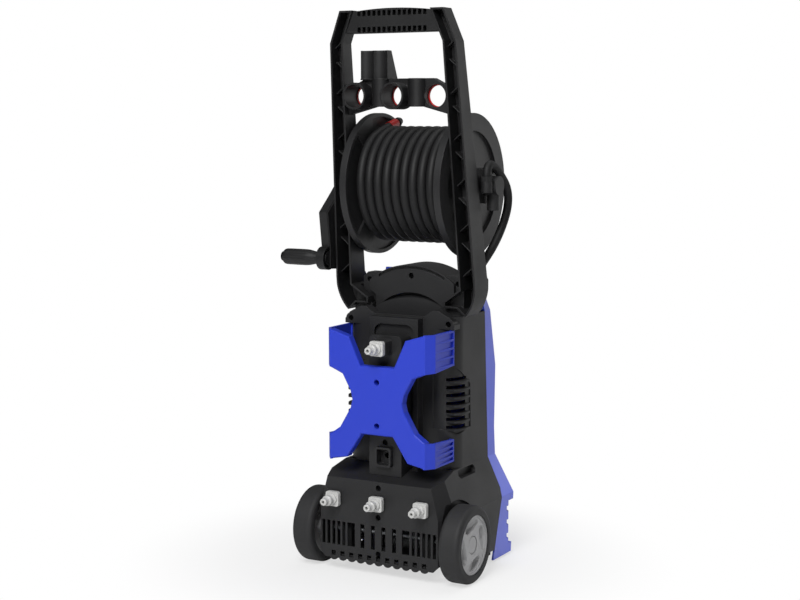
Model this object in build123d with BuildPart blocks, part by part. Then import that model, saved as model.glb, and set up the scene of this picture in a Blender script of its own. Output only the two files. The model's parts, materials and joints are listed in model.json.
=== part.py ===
from build123d import *
import math
import os

# Upright electric pressure washer with a hose reel in its handle.
# X runs across the machine, Y from its rear (the side with the spray nozzles) to its front, Z up.
# Everything is drawn about the machine's middle plane and moved at the end, so that the origin
# lies on the floor under the middle of the whole machine.

os.makedirs("parts", exist_ok=True)

# Driving dimensions, millimetres

WALL = 3.0            # moulded casing wall
FIT = 0.3             # gap between pieces that stand side by side
RUN = 0.05            # radial running clearance of a shaft in its bearing

# Wheels
WHEEL_R = 59.0
WHEEL_WIDTH = 34.0
WHEEL_FACE = 144.0    # outer face of a wheel from the middle plane
TYRE_SHOULDER = 7.0
RIM_R = 45.0
RIM_WALL = 3.0
RIM_SINK = 2.0        # how far the rim lies inside the tyre's faces
HUB_R = 15.0
AXLE_R = 6.0
AXLE_Y = -58.0
ARCH_GAP = 5.0        # room round a wheel in its arch
CAP_R = 13.0
CAP_LENGTH = 7.0
CAP_WALL = 2.0
CAP_SINK = 3.5        # how far a cap's face lies inside the wheel's face
DISC_DISH = 1.5       # how far the disc's face lies behind its rim
DISC_PLATE = 3.0
POCKETS = 4
POCKET_DEPTH = 9.0
POCKET_OUT_R = 40.5
POCKET_END_R = 36.5   # outer and inner corners of a pocket's blunt end
POCKET_IN_R = 21.0
POCKET_TIP_ANGLE = 47.0
POCKET_END_ANGLE = 127.0

# Lower housing
SKIRT_Z = 20.0        # lower edge of the rear casing
SKIRT_CUT = 8.0       # width and height of its cut lower corners
SKIRT_RISE = 8.0
TOE_Z = 4.0           # lower edge of the front cover
REAR_Y = -98.0
REAR_HALF = 102.0
FLANK_HALF = 119.0
FLANK_Y = -70.0
FLANK_Z = 99.0        # the flanks lean inwards above this height
TOE_Y = 128.0
TOE_RAKE = 8.0
FRONT_BULGE = 9.0
SHOULDER_Z = 162.0
SHOULDER_HALF = 86.0
SHOULDER_REAR_Y = -97.0
SHELF_LOW_Y = -92.0
SHELF_LOW_Z = 148.0

# Upper housing
UPPER_HALF = 95.0
UPPER_REAR_Y = -34.0
UPPER_CORNER_R = 30.0
SHOULDER_FRONT_Y = 109.0
WAIST_Z = 206.0
WAIST_FRONT_Y = 105.0
CHEST_Z = 305.0
CHEST_FRONT_Y = 108.0
TOP_Z = 394.0
TOP_FRONT_Y = 88.0
HEAD_Z = 455.0
HEAD_FRONT_Y = 70.0
HEAD_HALF = 80.0
PAD_HALF = 42.0       # flat pad that carries the rear spine
PAD_Y = -50.0
PAD_TOP_Z = 391.0
RECESS_HALF = 34.0    # rounded recess of the pad in which the spine stands
RECESS_TOP_Z = 381.0
RECESS_DEPTH = 6.0
RECESS_CORNER = 13.0
CORNER_Y = -15.0      # front of the raised corners that take the upper screws
CORNER_TOP_Z = 403.5
FINGER_Z = 154.0      # hollows for the fingers in the shoulders
FINGER_Y = 4.0
FINGER_LENGTH = 56.0
FINGER_HEIGHT = 13.0
FINGER_X = 90.0

# Parting line between the rear casing and the front cover, seen from the side
PART_TOP_Y = 66.0
PART_UPPER_Y = 69.0
PART_SHOULDER_Y = 83.0
PART_FLANK_Y = 90.0
PART_FLANK_Z = 113.0
PART_LOW_Y = 55.0
PART_GAP = 0.4

# Rear grilles
SLOT_LOW_Z = 41.0
SLOT_HIGH_Z = 78.0
SLOT_WIDE = 7.0
SLOT_WIDE_PITCH = 18.4
SLOT_NARROW = 5.4
SLOT_NARROW_PITCH = 9.0
SLOT_NARROW_START = 60.5
SLOT_TWIN = 13.0
SLOT_TWIN_X = 47.5
NOTCHES = 11
NOTCH_PITCH = 15.8
NOTCH = 7.5
NOTCH_Z = 27.5
VENTS = 7
VENT_PITCH = 12.2
VENT_LOW_Z = 224.0
VENT_HEIGHT = 4.5
VENT_REAR_Y = -28.5
VENT_FRONT_Y = 6.0
VENT_PANEL = 1.6      # depth of the sunk panel round the vents
GILL = 7.0            # how far the lips under the vents stand out
GILL_HEIGHT = 3.0

# Spray nozzles and their sockets
NOZZLE_COLLAR = 22.6
NOZZLE_COLLAR_DEPTH = 7.0
NOZZLE_CORNER = 4.0
NOZZLE_REACH = 33.0   # from the socket's face to the nozzle's tip
NOZZLE_PLUG_R = 5.5
NOZZLE_PLUG = 20.0
NOZZLE_BORE_R = 2.4
NOZZLE_BASE_R = 8.8
NOZZLE_NECK_R = 5.6
NOZZLE_RING_R = 8.0
NOZZLE_TIP_R = 5.6
LOWER_NOZZLE_X = 76.0
LOWER_NOZZLE_Z = 114.0
TOP_NOZZLE_Z = 350.0
SOCKET = 21.0
SOCKET_FLANGE = 24.0
SOCKET_PROUD = 2.0
SEAT_HALF = 14.0      # half width of the flat seat round a lower socket
TOP_SOCKET_PROUD = 20.0

# Rear spine with the cord inlet, and the cord wrap
SPINE_HALF = 28.0
SPINE_Y = -76.0
SPINE_TOP_Z = 367.0
SPINE_SCREW_Z = 203.5
SPINE_CORNER = 9.0
INLET_HALF = 13.5
INLET_LOW_Z = 167.0
INLET_HIGH_Z = 197.0
INLET_Y = -84.0
INLET_DEPTH = 18.0
CORD_GLAND_R = 4.5
WRAP_Y = -102.0
WRAP_DEPTH = 14.0
WRAP_WALL = 3.0
WRAP_BEVEL = 1.6
WRAP_TIP_X = 82.0
WRAP_SIDE_X = 92.0
WRAP_END_Y = -27.0
WRAP_TOP_Z = 375.0
WRAP_ARM_Z = 317.0    # lower edge of the upper arms at their tips
WRAP_LEG_Z = 214.0    # upper edge of the lower arms at their tips
WRAP_LOW_Z = 175.0
WRAP_WAIST = 43.0
WRAP_WAIST_Z = 270.0
WRAP_FLANK = 4.5      # thickness of the bent flanks
WRAP_LIP = 2.5
WRAP_RISE = 5.0       # how far the flanks' edges run up or down towards the front
WRAP_SCREW_Z = (299.0, 233.0)
WRAP_SLOTS = 4
WRAP_SLOT_DEPTH = 3.2
WRAP_RIB = 3.0

# Handle
ARM_OUT_LOW = 121.0   # outer edge of an arm at the height of its knee
ARM_OUT_HIGH = 107.0
ARM_OUT_TOP = 88.0
ARM_IN_LOW = 94.0
ARM_IN_HIGH = 85.0
ARM_IN_TOP = 66.0
ARM_KNEE_Z = 446.0
ARM_KINK_Z = 803.0
ARM_TOP_Z = 851.0
ARM_REAR_LOW = -12.0
ARM_REAR_HIGH = -56.0
ARM_REAR_TOP = -60.0
ARM_FRONT_LOW = 28.0
ARM_FRONT_HIGH = -30.0
ARM_FRONT_TOP = -34.0
ARM_STEP = 4.0
ARM_WALL = 2.8
ARM_WEB = 4.0
ARM_RIB = 1.6
ARM_RIB_SINK = 12.0   # how far the ribs lie inside the channel
ARM_RIB_PITCH = 34.0
FOOT_IN = 66.0
FOOT_Z = 406.0
FOOT_LIP = 9.5
FOOT_FRONT_Y = 4.0
GRIP_LOW_Z = 817.0
GRIP_CROWN = 2.0
GRIP_POCKETS = 14
GRIP_POCKET = 5.6
GRIP_POCKET_HEIGHT = 8.0
GRIP_POCKET_PITCH = 8.6
GRIP_POCKET_DEPTH = 9.0

# Lance holder
HOLDER_TOP_Z = 750.0
HOLDER_LOW_Z = 708.0
HOLDER_END_TOP_Z = 736.0
HOLDER_END_LOW_Z = 696.0
HOLDER_REAR_Y = -34.0
HOLDER_FRONT_Y = -21.0
HOLDER_HOLE_R = 15.5
HOLDER_HOLE_PITCH = 62.0
HOLDER_HOLE_Z = 724.0
HOLDER_POST_R = 15.0
HOLDER_TUBE_WALL = 3.0
HOLDER_LEFT_REAR = -62.0    # rear ends of the two longer rests
HOLDER_MIDDLE_REAR = -57.0
RING_WALL = 1.6
RING_LENGTH = 3.0
HOLSTER_LEFT_X = -63.0
HOLSTER_RIGHT_X = -17.0
HOLSTER_TOP_Z = 792.0
HOLSTER_DEPTH_TOP = 14.0
HOLSTER_DEPTH_LOW = 34.0
FLUTE_R = 16.0

# Hose reel
REEL_Y = 45.0
REEL_Z = 589.0
FLANGE_R = 110.0
FLANGE_OUT = 86.0
FLANGE_IN = 75.0
FLANGE_RIM = 6.0
FLANGE_FACE_R = 83.0   # outer edge of the pockets in the outer face
FLANGE_POCKET = 4.0
FLANGE_FACE_POCKET = 4.5
FLANGE_POCKETS = 3
FLANGE_SPOKE_ANGLE = 26.0
FLANGE_HUB_R = 21.0
FLANGE_HUB_OUT = 90.0
DRUM_R = 45.0
DRUM_WALL = 5.0
SPIGOT = 8.0
SPINDLE_R = 14.0
SPINDLE_END_R = 12.0
SPINDLE_BORE_R = 6.0
HOSE_R = 7.0
WIND_R = 83.0         # middle line of the outer layer of hose
WIND_CLEAR = 1.0      # between neighbouring turns
WIND_GAP = 1.5        # from the last turn to the left flange
WIND_END_ANGLE = 105.0
WIND_END_RUN = 30.0   # straight run up to the hose's coupling
CORE_GAP = 0.4        # between the outer layer and the layers under it
DIVE_R = 30.0         # bend where the hose dives under into the inner layer
DIVE_ANGLE = 115.0
DIVE_LEAN = 4.0
COUPLING_R = 7.8
COUPLING_LENGTH = 22.0
TIP_R = 5.6
TIP_RING_R = 7.2
TIP_LENGTH = 15.0
EAR_R = 27.0
EAR_IN = 93.0
EAR_OUT = 108.0
EAR_TOP = 26.0
BUSH_R = 19.0
BUSH_FLANGE_R = 22.0
BUSH_FLANGE = 1.6

# Crank
CRANK_IN = 124.0
CRANK_OUT = 138.0
CRANK_HUB_R = 24.0
CRANK_WALL = 3.0
CRANK_EYE_R = 18.0
GRIP_Y = -34.0
GRIP_Z = 474.5
GRIP_R = 12.8
GRIP_NECK_R = 9.5
GRIP_LENGTH = 67.0
PIN_R = 5.0
PIN_HEAD_R = 7.5
PIN_HEAD = 4.0

# Swivel, lead hose and gland
SWIVEL_R = 15.0
SWIVEL_OUT = 131.0
SWIVEL_POST_R = 9.5
SWIVEL_POST_LOW = 37.0
SWIVEL_POST_HIGH = 10.0
PORT_X = 120.0
PORT_Y = 22.0
NUT_R = 9.5
NUT_LOW_Z = 580.0
NUT_HIGH_Z = 604.0
LEAD_R = 6.5
GLAND_X = 83.0
GLAND_Y = 48.0
GLAND_R = 9.5
GLAND_HEIGHT = 10.0
GLAND_WALL = 1.5
LEAD_TOP_Z = 624.0
LEAD_FRONT_Y = 110.0
LEAD_FRONT_Z = 572.0
LEAD_BEND_R = 15.0

# Top cover
DOME_REAR_Y = 5.0
DOME_FRONT_Y = 66.0
DOME_HALF = 74.0
DOME_FOOT_HALF = 62.5
DOME_SIDE_Z = 440.0
DOME_TOP_Z = 467.0
DOME_FACE = 6.0
DOME_RIM = 4.0        # arched groove under the edge of the roof
WING_HALF = 89.0
WING_LOW_Z = 406.3
WING_TOP_Z = 452.0
WING_REAR_Y = 12.0
WING_FRONT_Y = 34.0
SCOOP_HALF = 58.0
SCOOP_SIDE_Z = 400.0
SCOOP_TOP_Z = 424.0
SCOOP_DEPTH = 13.0

# Motor and pump
MOTOR_Y = 25.0
CHASSIS_LOW_Z = 20.0
CHASSIS_THICK = 6.0
CHASSIS_HALF = 79.0
LUG_X = 62.0
LUG_WIDTH = 16.0
LUG_R = 15.0
PUMP_HEAD = 84.0
PUMP_HEAD_HEIGHT = 38.0
PUMP_R = 44.0
PUMP_HEIGHT = 54.0
PISTONS = 3
PISTON_R = 8.0
PISTON_CIRCLE_R = 25.0
PISTON_LENGTH = 62.0
SWASH_ROOM = 62.0
SWASH_R = 36.0
SWASH_TILT = 8.0
SWASH_THICK = 16.0
MOTOR_R = 53.0
MOTOR_LENGTH = 120.0
PLATE_THICK = 9.0
STATOR_LENGTH = 96.0
ROTOR_R = 27.0
AIR_GAP = 0.6
SHAFT_R = 8.0
BEARING_R = 17.0
FAN_R = 45.0
FAN_HEIGHT = 16.0
FAN_BLADES = 9
CAPACITOR_R = 17.0
CAPACITOR_LENGTH = 70.0

# Switch and water inlet at the front
KNOB_R = 17.0
KNOB_DEPTH = 17.0
KNOB_Z = 425.0
KNOB_SHAFT_R = 4.0
KNOB_PAD_R = 23.0
KNOB_PAD_Y = 93.0
SWITCH_HALF = 19.0
SWITCH_DEPTH = 24.0
SWITCH_HEIGHT = 34.0
SWITCH_NOSE = 6.0
SWITCH_SEAT = 9.0     # parting face to the outside of the wall that the switch sits behind
SWITCH_NOSE_R = 8.0
WATER_X = -58.0
WATER_Z = 58.0
WATER_R = 9.0
WATER_REACH = 21.0    # how far the spigot stands out past the toe
WATER_DEPTH = 28.0
PIPE_R = 6.0
PIPE_BEND_R = 14.0
GRILLE_SLOTS = 3
GRILLE_PITCH = 22.0
GRILLE_HEIGHT = 8.5
GRILLE_LOW_Z = 27.5
TOE_CUT_LOW_Z = 19.0  # cut front corners with the ends of the grille
TOE_CUT_HIGH_Z = 88.0
TOE_CUT = 23.0        # width and depth of the cut
TOE_CUT_DEPTH = 18.0

# Feet and screws
FOOT_PAD_R = 13.0
FOOT_PAD_X = 82.0
FOOT_PAD_INSET = 36.0 # from the toe
SCREW_R = 2.0
SCREW_LENGTH = 12.0
SCREW_HEAD_R = 4.2
SCREW_HEAD = 2.6
SCREW_SINK = 3.0      # how far a head lies below the face
LOWER_SCREW_Z = (137.0, 92.0, 35.0)
EAR_SCREW_X = 85.0
EAR_SCREW_Z = 384.0
EAR_LOW_Z = 376.0
DOME_SCREW_Z = 450.0
WING_SCREW_X = 78.0
WING_SCREW_Z = 440.0

# Sizes that follow from those above

WHEEL_IN = WHEEL_FACE - WHEEL_WIDTH
ARCH_R = WHEEL_R + ARCH_GAP
ARCH_IN = WHEEL_IN - ARCH_GAP + 1.0
NOZZLE_TIP_Y = REAR_Y - SOCKET_PROUD - NOZZLE_REACH
CRANK_REACH = CRANK_OUT + GRIP_LENGTH + FIT + PIN_HEAD
CAP_FACE = WHEEL_FACE - CAP_SINK
WATER_TIP_Y = TOE_Y + WATER_REACH
WATER_BACK_Y = TOE_Y - WATER_DEPTH
CHASSIS_REAR_Y = REAR_Y + WALL + PART_GAP
CHASSIS_FRONT_Y = TOE_Y - 2 * TOE_RAKE
WIND_PITCH = 2 * HOSE_R + WIND_CLEAR
WIND_HALF_TURNS = int(4 * (FLANGE_IN - HOSE_R - WIND_GAP) / WIND_PITCH)
SHIFT_X = (CRANK_REACH - WHEEL_FACE) / 2
SHIFT_Y = -(WATER_TIP_Y + NOZZLE_TIP_Y) / 2
SIDES = (("left", -1), ("right", 1))


def keep(builder, label):
    """Name a finished piece, move it onto the machine's own origin and write its file."""
    builder.part.label = label
    export_step(builder.part.moved(Location((SHIFT_X, SHIFT_Y, 0))), f"parts/{label}.step")


def rear_view(y):
    """Plane seen from the rear at depth y: sketch X is X, sketch Y is Z, extrusions run to -Y."""
    return Plane.XZ.offset(-y)


def side_view(x):
    """Plane seen from the right at x: sketch X is Y, sketch Y is Z, extrusions run to +X."""
    return Plane.YZ.offset(x)


def rod_x(x0, x1, y, z, radius, mode=Mode.ADD):
    """Round bar along X."""
    with BuildSketch(side_view(x0)) as disc:
        with Locations((y, z)):
            Circle(radius)
    extrude(disc.sketch, amount=x1 - x0, mode=mode)


def rod_y(y0, y1, x, z, radius, mode=Mode.ADD):
    """Round bar along Y, from the front end y0 to the rear end y1."""
    with BuildSketch(rear_view(y0)) as disc:
        with Locations((x, z)):
            Circle(radius)
    extrude(disc.sketch, amount=y0 - y1, mode=mode)


def rod_z(z0, z1, x, y, radius, mode=Mode.ADD):
    """Round bar along Z."""
    with BuildSketch(Plane.XY.offset(z0)) as disc:
        with Locations((x, y)):
            Circle(radius)
    extrude(disc.sketch, amount=z1 - z0, mode=mode)


def block(x, y, z, mode=Mode.ADD):
    """Box between two limits along each axis."""
    middle = tuple((low + high) / 2 for low, high in (x, y, z))
    with Locations(middle):
        Box(x[1] - x[0], y[1] - y[0], z[1] - z[0], mode=mode)


def prism_y(points, y0, y1, mode=Mode.ADD):
    """Straight-sided outline in X and Z, from the front end y0 to the rear end y1."""
    with BuildSketch(rear_view(y0)) as outline:
        with BuildLine():
            Polyline(*points, close=True)
        make_face()
    extrude(outline.sketch, amount=y0 - y1, mode=mode)


def prism_x(points, x0, x1, mode=Mode.ADD):
    """Straight-sided outline in Y and Z, from x0 to x1."""
    with BuildSketch(side_view(x0)) as outline:
        with BuildLine():
            Polyline(*points, close=True)
        make_face()
    extrude(outline.sketch, amount=x1 - x0, mode=mode)


# Casing

def lower_section(z, rear_y, rear_half, side_half, front_y, inset):
    """Level cut through the lower housing: cut rear corners, straight flanks, bowed front."""
    rear = rear_y + inset
    half = rear_half - inset * 0.7
    side = side_half - inset
    front = front_y - inset
    with BuildSketch(Plane.XY.offset(z)) as cut:
        with BuildLine():
            Polyline((-side, front), (-side, FLANK_Y), (-half, rear), (half, rear),
                     (side, FLANK_Y), (side, front))
            ThreePointArc((side, front), (0, front + FRONT_BULGE), (-side, front))
        make_face()
    return cut.sketch


def upper_section(z, half, front_y, inset):
    """Level cut through the upper housing: round rear corners and a bowed front."""
    side = half - inset
    rear = UPPER_REAR_Y + inset
    front = front_y - inset
    radius = UPPER_CORNER_R - inset
    bend = radius * (1 - math.sqrt(0.5))
    with BuildSketch(Plane.XY.offset(z)) as cut:
        with BuildLine():
            Line((-side + radius, rear), (side - radius, rear))
            ThreePointArc((side - radius, rear), (side - bend, rear + bend), (side, rear + radius))
            Line((side, rear + radius), (side, front))
            ThreePointArc((side, front), (0, front + FRONT_BULGE), (-side, front))
            Line((-side, front), (-side, rear + radius))
            ThreePointArc((-side, rear + radius), (-side + bend, rear + bend), (-side + radius, rear))
        make_face()
    return cut.sketch


def casing_volume(inset):
    """Outside of the whole casing, or with an inset its inside, with the wheel arches left out."""
    low = TOE_Z - inset
    loft([
        lower_section(low, REAR_Y, REAR_HALF, FLANK_HALF, TOE_Y - TOE_RAKE, inset),
        lower_section(FLANK_Z, REAR_Y, REAR_HALF, FLANK_HALF, TOE_Y, inset),
        lower_section(SHOULDER_Z, SHOULDER_REAR_Y, SHOULDER_HALF, UPPER_HALF, SHOULDER_FRONT_Y, inset),
    ], ruled=True)
    shelf_rise = (SHOULDER_Z - SHELF_LOW_Z) / (UPPER_REAR_Y - SHELF_LOW_Y)
    overhang = 30.0
    prism_x([(SHELF_LOW_Y - overhang, SHELF_LOW_Z - overhang * shelf_rise - inset),
             (UPPER_REAR_Y + inset, SHOULDER_Z - inset),
             (UPPER_REAR_Y + inset, SHOULDER_Z + 1),
             (SHELF_LOW_Y - overhang, SHOULDER_Z + 1)], -FLANK_HALF, FLANK_HALF, Mode.SUBTRACT)
    loft([
        upper_section(SHOULDER_Z - 4 * inset, UPPER_HALF, SHOULDER_FRONT_Y, inset),
        upper_section(WAIST_Z, UPPER_HALF, WAIST_FRONT_Y, inset),
        upper_section(CHEST_Z, UPPER_HALF, CHEST_FRONT_Y, inset),
        upper_section(TOP_Z, UPPER_HALF, TOP_FRONT_Y, inset),
        upper_section(HEAD_Z, HEAD_HALF, HEAD_FRONT_Y, inset),
    ], ruled=True)
    block((-PAD_HALF + inset, PAD_HALF - inset), (PAD_Y + inset, UPPER_REAR_Y + 1 + inset),
          (SHELF_LOW_Z + inset, PAD_TOP_Z - inset))
    split(bisect_by=Plane.XY.offset(HEAD_Z - inset), keep=Keep.BOTTOM)
    for _, side in SIDES:
        ends = sorted((side * (ARCH_IN - inset), side * (FLANK_HALF + 1)))
        rod_x(ends[0], ends[1], AXLE_Y, WHEEL_R, ARCH_R + inset, Mode.SUBTRACT)


def parting(gap, far_y):
    """Side outline of everything on one side of the parting line."""
    line = [(PART_LOW_Y + gap, -TOE_Z), (PART_LOW_Y + gap, TOE_Z), (PART_FLANK_Y + gap, PART_FLANK_Z),
            (PART_SHOULDER_Y + gap, SHOULDER_Z), (PART_UPPER_Y + gap, TOP_Z),
            (PART_TOP_Y + gap, HEAD_Z + 20)]
    prism_x(line + [(far_y, HEAD_Z + 20), (far_y, -TOE_Z)], -FLANK_HALF, FLANK_HALF, Mode.INTERSECT)


def screw_hole(x, y, z):
    """Stepped hole for a screw driven in from the rear, its head sunk below the face at y."""
    head_y = y + SCREW_SINK
    rod_y(head_y + SCREW_LENGTH, y, x, z, SCREW_R + RUN, Mode.SUBTRACT)
    rod_y(head_y + SCREW_HEAD + RUN, y - 1, x, z, SCREW_HEAD_R + FIT, Mode.SUBTRACT)


def screw_boss(x, y, z, radius):
    """Round boss behind a face at y for a screw driven in from the rear."""
    rod_y(y + SCREW_SINK + SCREW_LENGTH, y, x, z, radius)


def rear_wall_y(z):
    """Rear face of the lower housing at a height."""
    lean = max(0, z - FLANK_Z) / (SHOULDER_Z - FLANK_Z)
    return REAR_Y + (SHOULDER_REAR_Y - REAR_Y) * lean


def nozzle_socket(x, wall_y, proud, z):
    """Socket let into a wall at wall_y, with ribs round the part that stands proud."""
    face = wall_y - proud
    with BuildSketch(rear_view(wall_y + NOZZLE_PLUG + WALL - proud)) as shank:
        with Locations((x, z)):
            Rectangle(SOCKET, SOCKET)
    extrude(shank.sketch, amount=NOZZLE_PLUG + WALL - 1)
    ribs = max(1, int(proud / 4))
    for index in range(ribs):
        start = wall_y - index * proud / ribs
        with BuildSketch(rear_view(start)) as rib:
            with Locations((x, z)):
                RectangleRounded(SOCKET_FLANGE, SOCKET_FLANGE, NOZZLE_CORNER)
        extrude(rib.sketch, amount=proud / ribs - (0 if ribs == 1 else 1.4))
    with BuildSketch(rear_view(wall_y)) as core:
        with Locations((x, z)):
            RectangleRounded(SOCKET_FLANGE - 3, SOCKET_FLANGE - 3, NOZZLE_CORNER - 1.5)
    extrude(core.sketch, amount=proud)
    rod_y(face + NOZZLE_PLUG + 0.5, face - 1, x, z, NOZZLE_PLUG_R + 2 * RUN, Mode.SUBTRACT)


casing_screws = [(0, rear_wall_y(z), z) for z in LOWER_SCREW_Z]
casing_screws += [(side * EAR_SCREW_X, UPPER_REAR_Y, EAR_SCREW_Z) for _, side in SIDES]
dome_screws = [(0, DOME_REAR_Y, DOME_SCREW_Z)]
dome_screws += [(side * WING_SCREW_X, WING_REAR_Y, WING_SCREW_Z) for _, side in SIDES]
spine_screws = [(0, SPINE_Y, SPINE_SCREW_Z)]
wrap_screws = [(0, SPINE_Y - SCREW_LENGTH / 2 - SCREW_SINK, z) for z in WRAP_SCREW_Z]
BOSS_R = 2 * SCREW_HEAD_R

with BuildPart() as casing_form:
    casing_volume(0)

with BuildPart() as casing_room:
    casing_volume(WALL)

with BuildPart() as rear_room:
    add(casing_room.part)
    split(bisect_by=Plane.XY.offset(TOP_Z - WALL), keep=Keep.BOTTOM)

with BuildPart() as finger_walls:
    for _, side in SIDES:
        reach = sorted((side * (FINGER_X - WALL), side * FLANK_HALF))
        half_length = FINGER_LENGTH / 2 + WALL
        half_height = FINGER_HEIGHT / 2 + WALL
        block(reach, (FINGER_Y - half_length, FINGER_Y + half_length),
              (FINGER_Z - half_height, FINGER_Z + half_height))
    add(casing_form.part, mode=Mode.INTERSECT)

VENT_TOP_Z = VENT_LOW_Z + VENTS * VENT_PITCH
vent_inner = UPPER_HALF - UPPER_CORNER_R - 6
panel_low = VENT_LOW_Z - VENT_PITCH
panel_height = VENT_TOP_Z + 2 * VENT_PITCH - panel_low
panel_front_y = VENT_FRONT_Y + 16

# Sunk panel round the vents, and the lips that stand out under them
with BuildPart() as vent_panels:
    for _, side in SIDES:
        prism_x([(UPPER_REAR_Y, VENT_TOP_Z + VENT_PITCH), (UPPER_REAR_Y, VENT_LOW_Z),
                 (UPPER_REAR_Y + 16, VENT_LOW_Z - 9), (panel_front_y, VENT_LOW_Z - 3),
                 (panel_front_y - 2, VENT_TOP_Z - VENT_PITCH - 9), (UPPER_REAR_Y + 13, VENT_TOP_Z + 9)],
                side * vent_inner, side * (UPPER_HALF + 1))
    extrude(upper_section(panel_low, UPPER_HALF, WAIST_FRONT_Y, VENT_PANEL), amount=panel_height,
            mode=Mode.SUBTRACT)

with BuildPart() as gills:
    for index in range(VENTS):
        lip_z = VENT_LOW_Z - GILL_HEIGHT + index * VENT_PITCH
        extrude(upper_section(lip_z, UPPER_HALF, WAIST_FRONT_Y, -GILL), amount=GILL_HEIGHT)
    extrude(upper_section(panel_low, UPPER_HALF, WAIST_FRONT_Y, WALL - FIT), amount=panel_height,
            mode=Mode.SUBTRACT)
    gill_half = UPPER_HALF + GILL + 1
    gill_z = (panel_low, panel_low + panel_height)
    block((-gill_half, gill_half), (UPPER_REAR_Y - GILL - 1, VENT_REAR_Y), gill_z, Mode.SUBTRACT)
    block((-gill_half, gill_half), (VENT_FRONT_Y, TOE_Y), gill_z, Mode.SUBTRACT)


def scoop_outline(inset):
    """Rear view of the arched hollow under the top cover."""
    half = SCOOP_HALF - inset
    with BuildSketch(rear_view(DOME_REAR_Y + SCOOP_DEPTH)) as arch:
        with BuildLine():
            Polyline((half, SCOOP_SIDE_Z), (half, TOP_Z - WALL), (-half, TOP_Z - WALL), (-half, SCOOP_SIDE_Z))
            ThreePointArc((-half, SCOOP_SIDE_Z), (0, SCOOP_TOP_Z - inset), (half, SCOOP_SIDE_Z))
        make_face()
    return arch.sketch


# Hollowed step from the casing's top up into that hollow
with BuildPart() as scoop:
    scoop_end = DOME_REAR_Y + SCOOP_DEPTH - FIT
    with BuildSketch(side_view(-SCOOP_HALF)):
        with BuildLine():
            Polyline((scoop_end, SCOOP_TOP_Z), (scoop_end, TOP_Z - WALL), (UPPER_REAR_Y, TOP_Z - WALL),
                     (UPPER_REAR_Y, TOP_Z))
            ThreePointArc((UPPER_REAR_Y, TOP_Z), (DOME_REAR_Y - 7, TOP_Z + 7), (scoop_end, SCOOP_TOP_Z))
        make_face()
    extrude(amount=2 * SCOOP_HALF)
    extrude(scoop_outline(FIT), amount=DOME_REAR_Y + SCOOP_DEPTH - UPPER_REAR_Y, mode=Mode.INTERSECT)

shelf_rise = (SHOULDER_Z - SHELF_LOW_Z) / (UPPER_REAR_Y - SHELF_LOW_Y)
recess_low_z = SHELF_LOW_Z + shelf_rise * (PAD_Y + RECESS_DEPTH - SHELF_LOW_Y)

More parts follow.
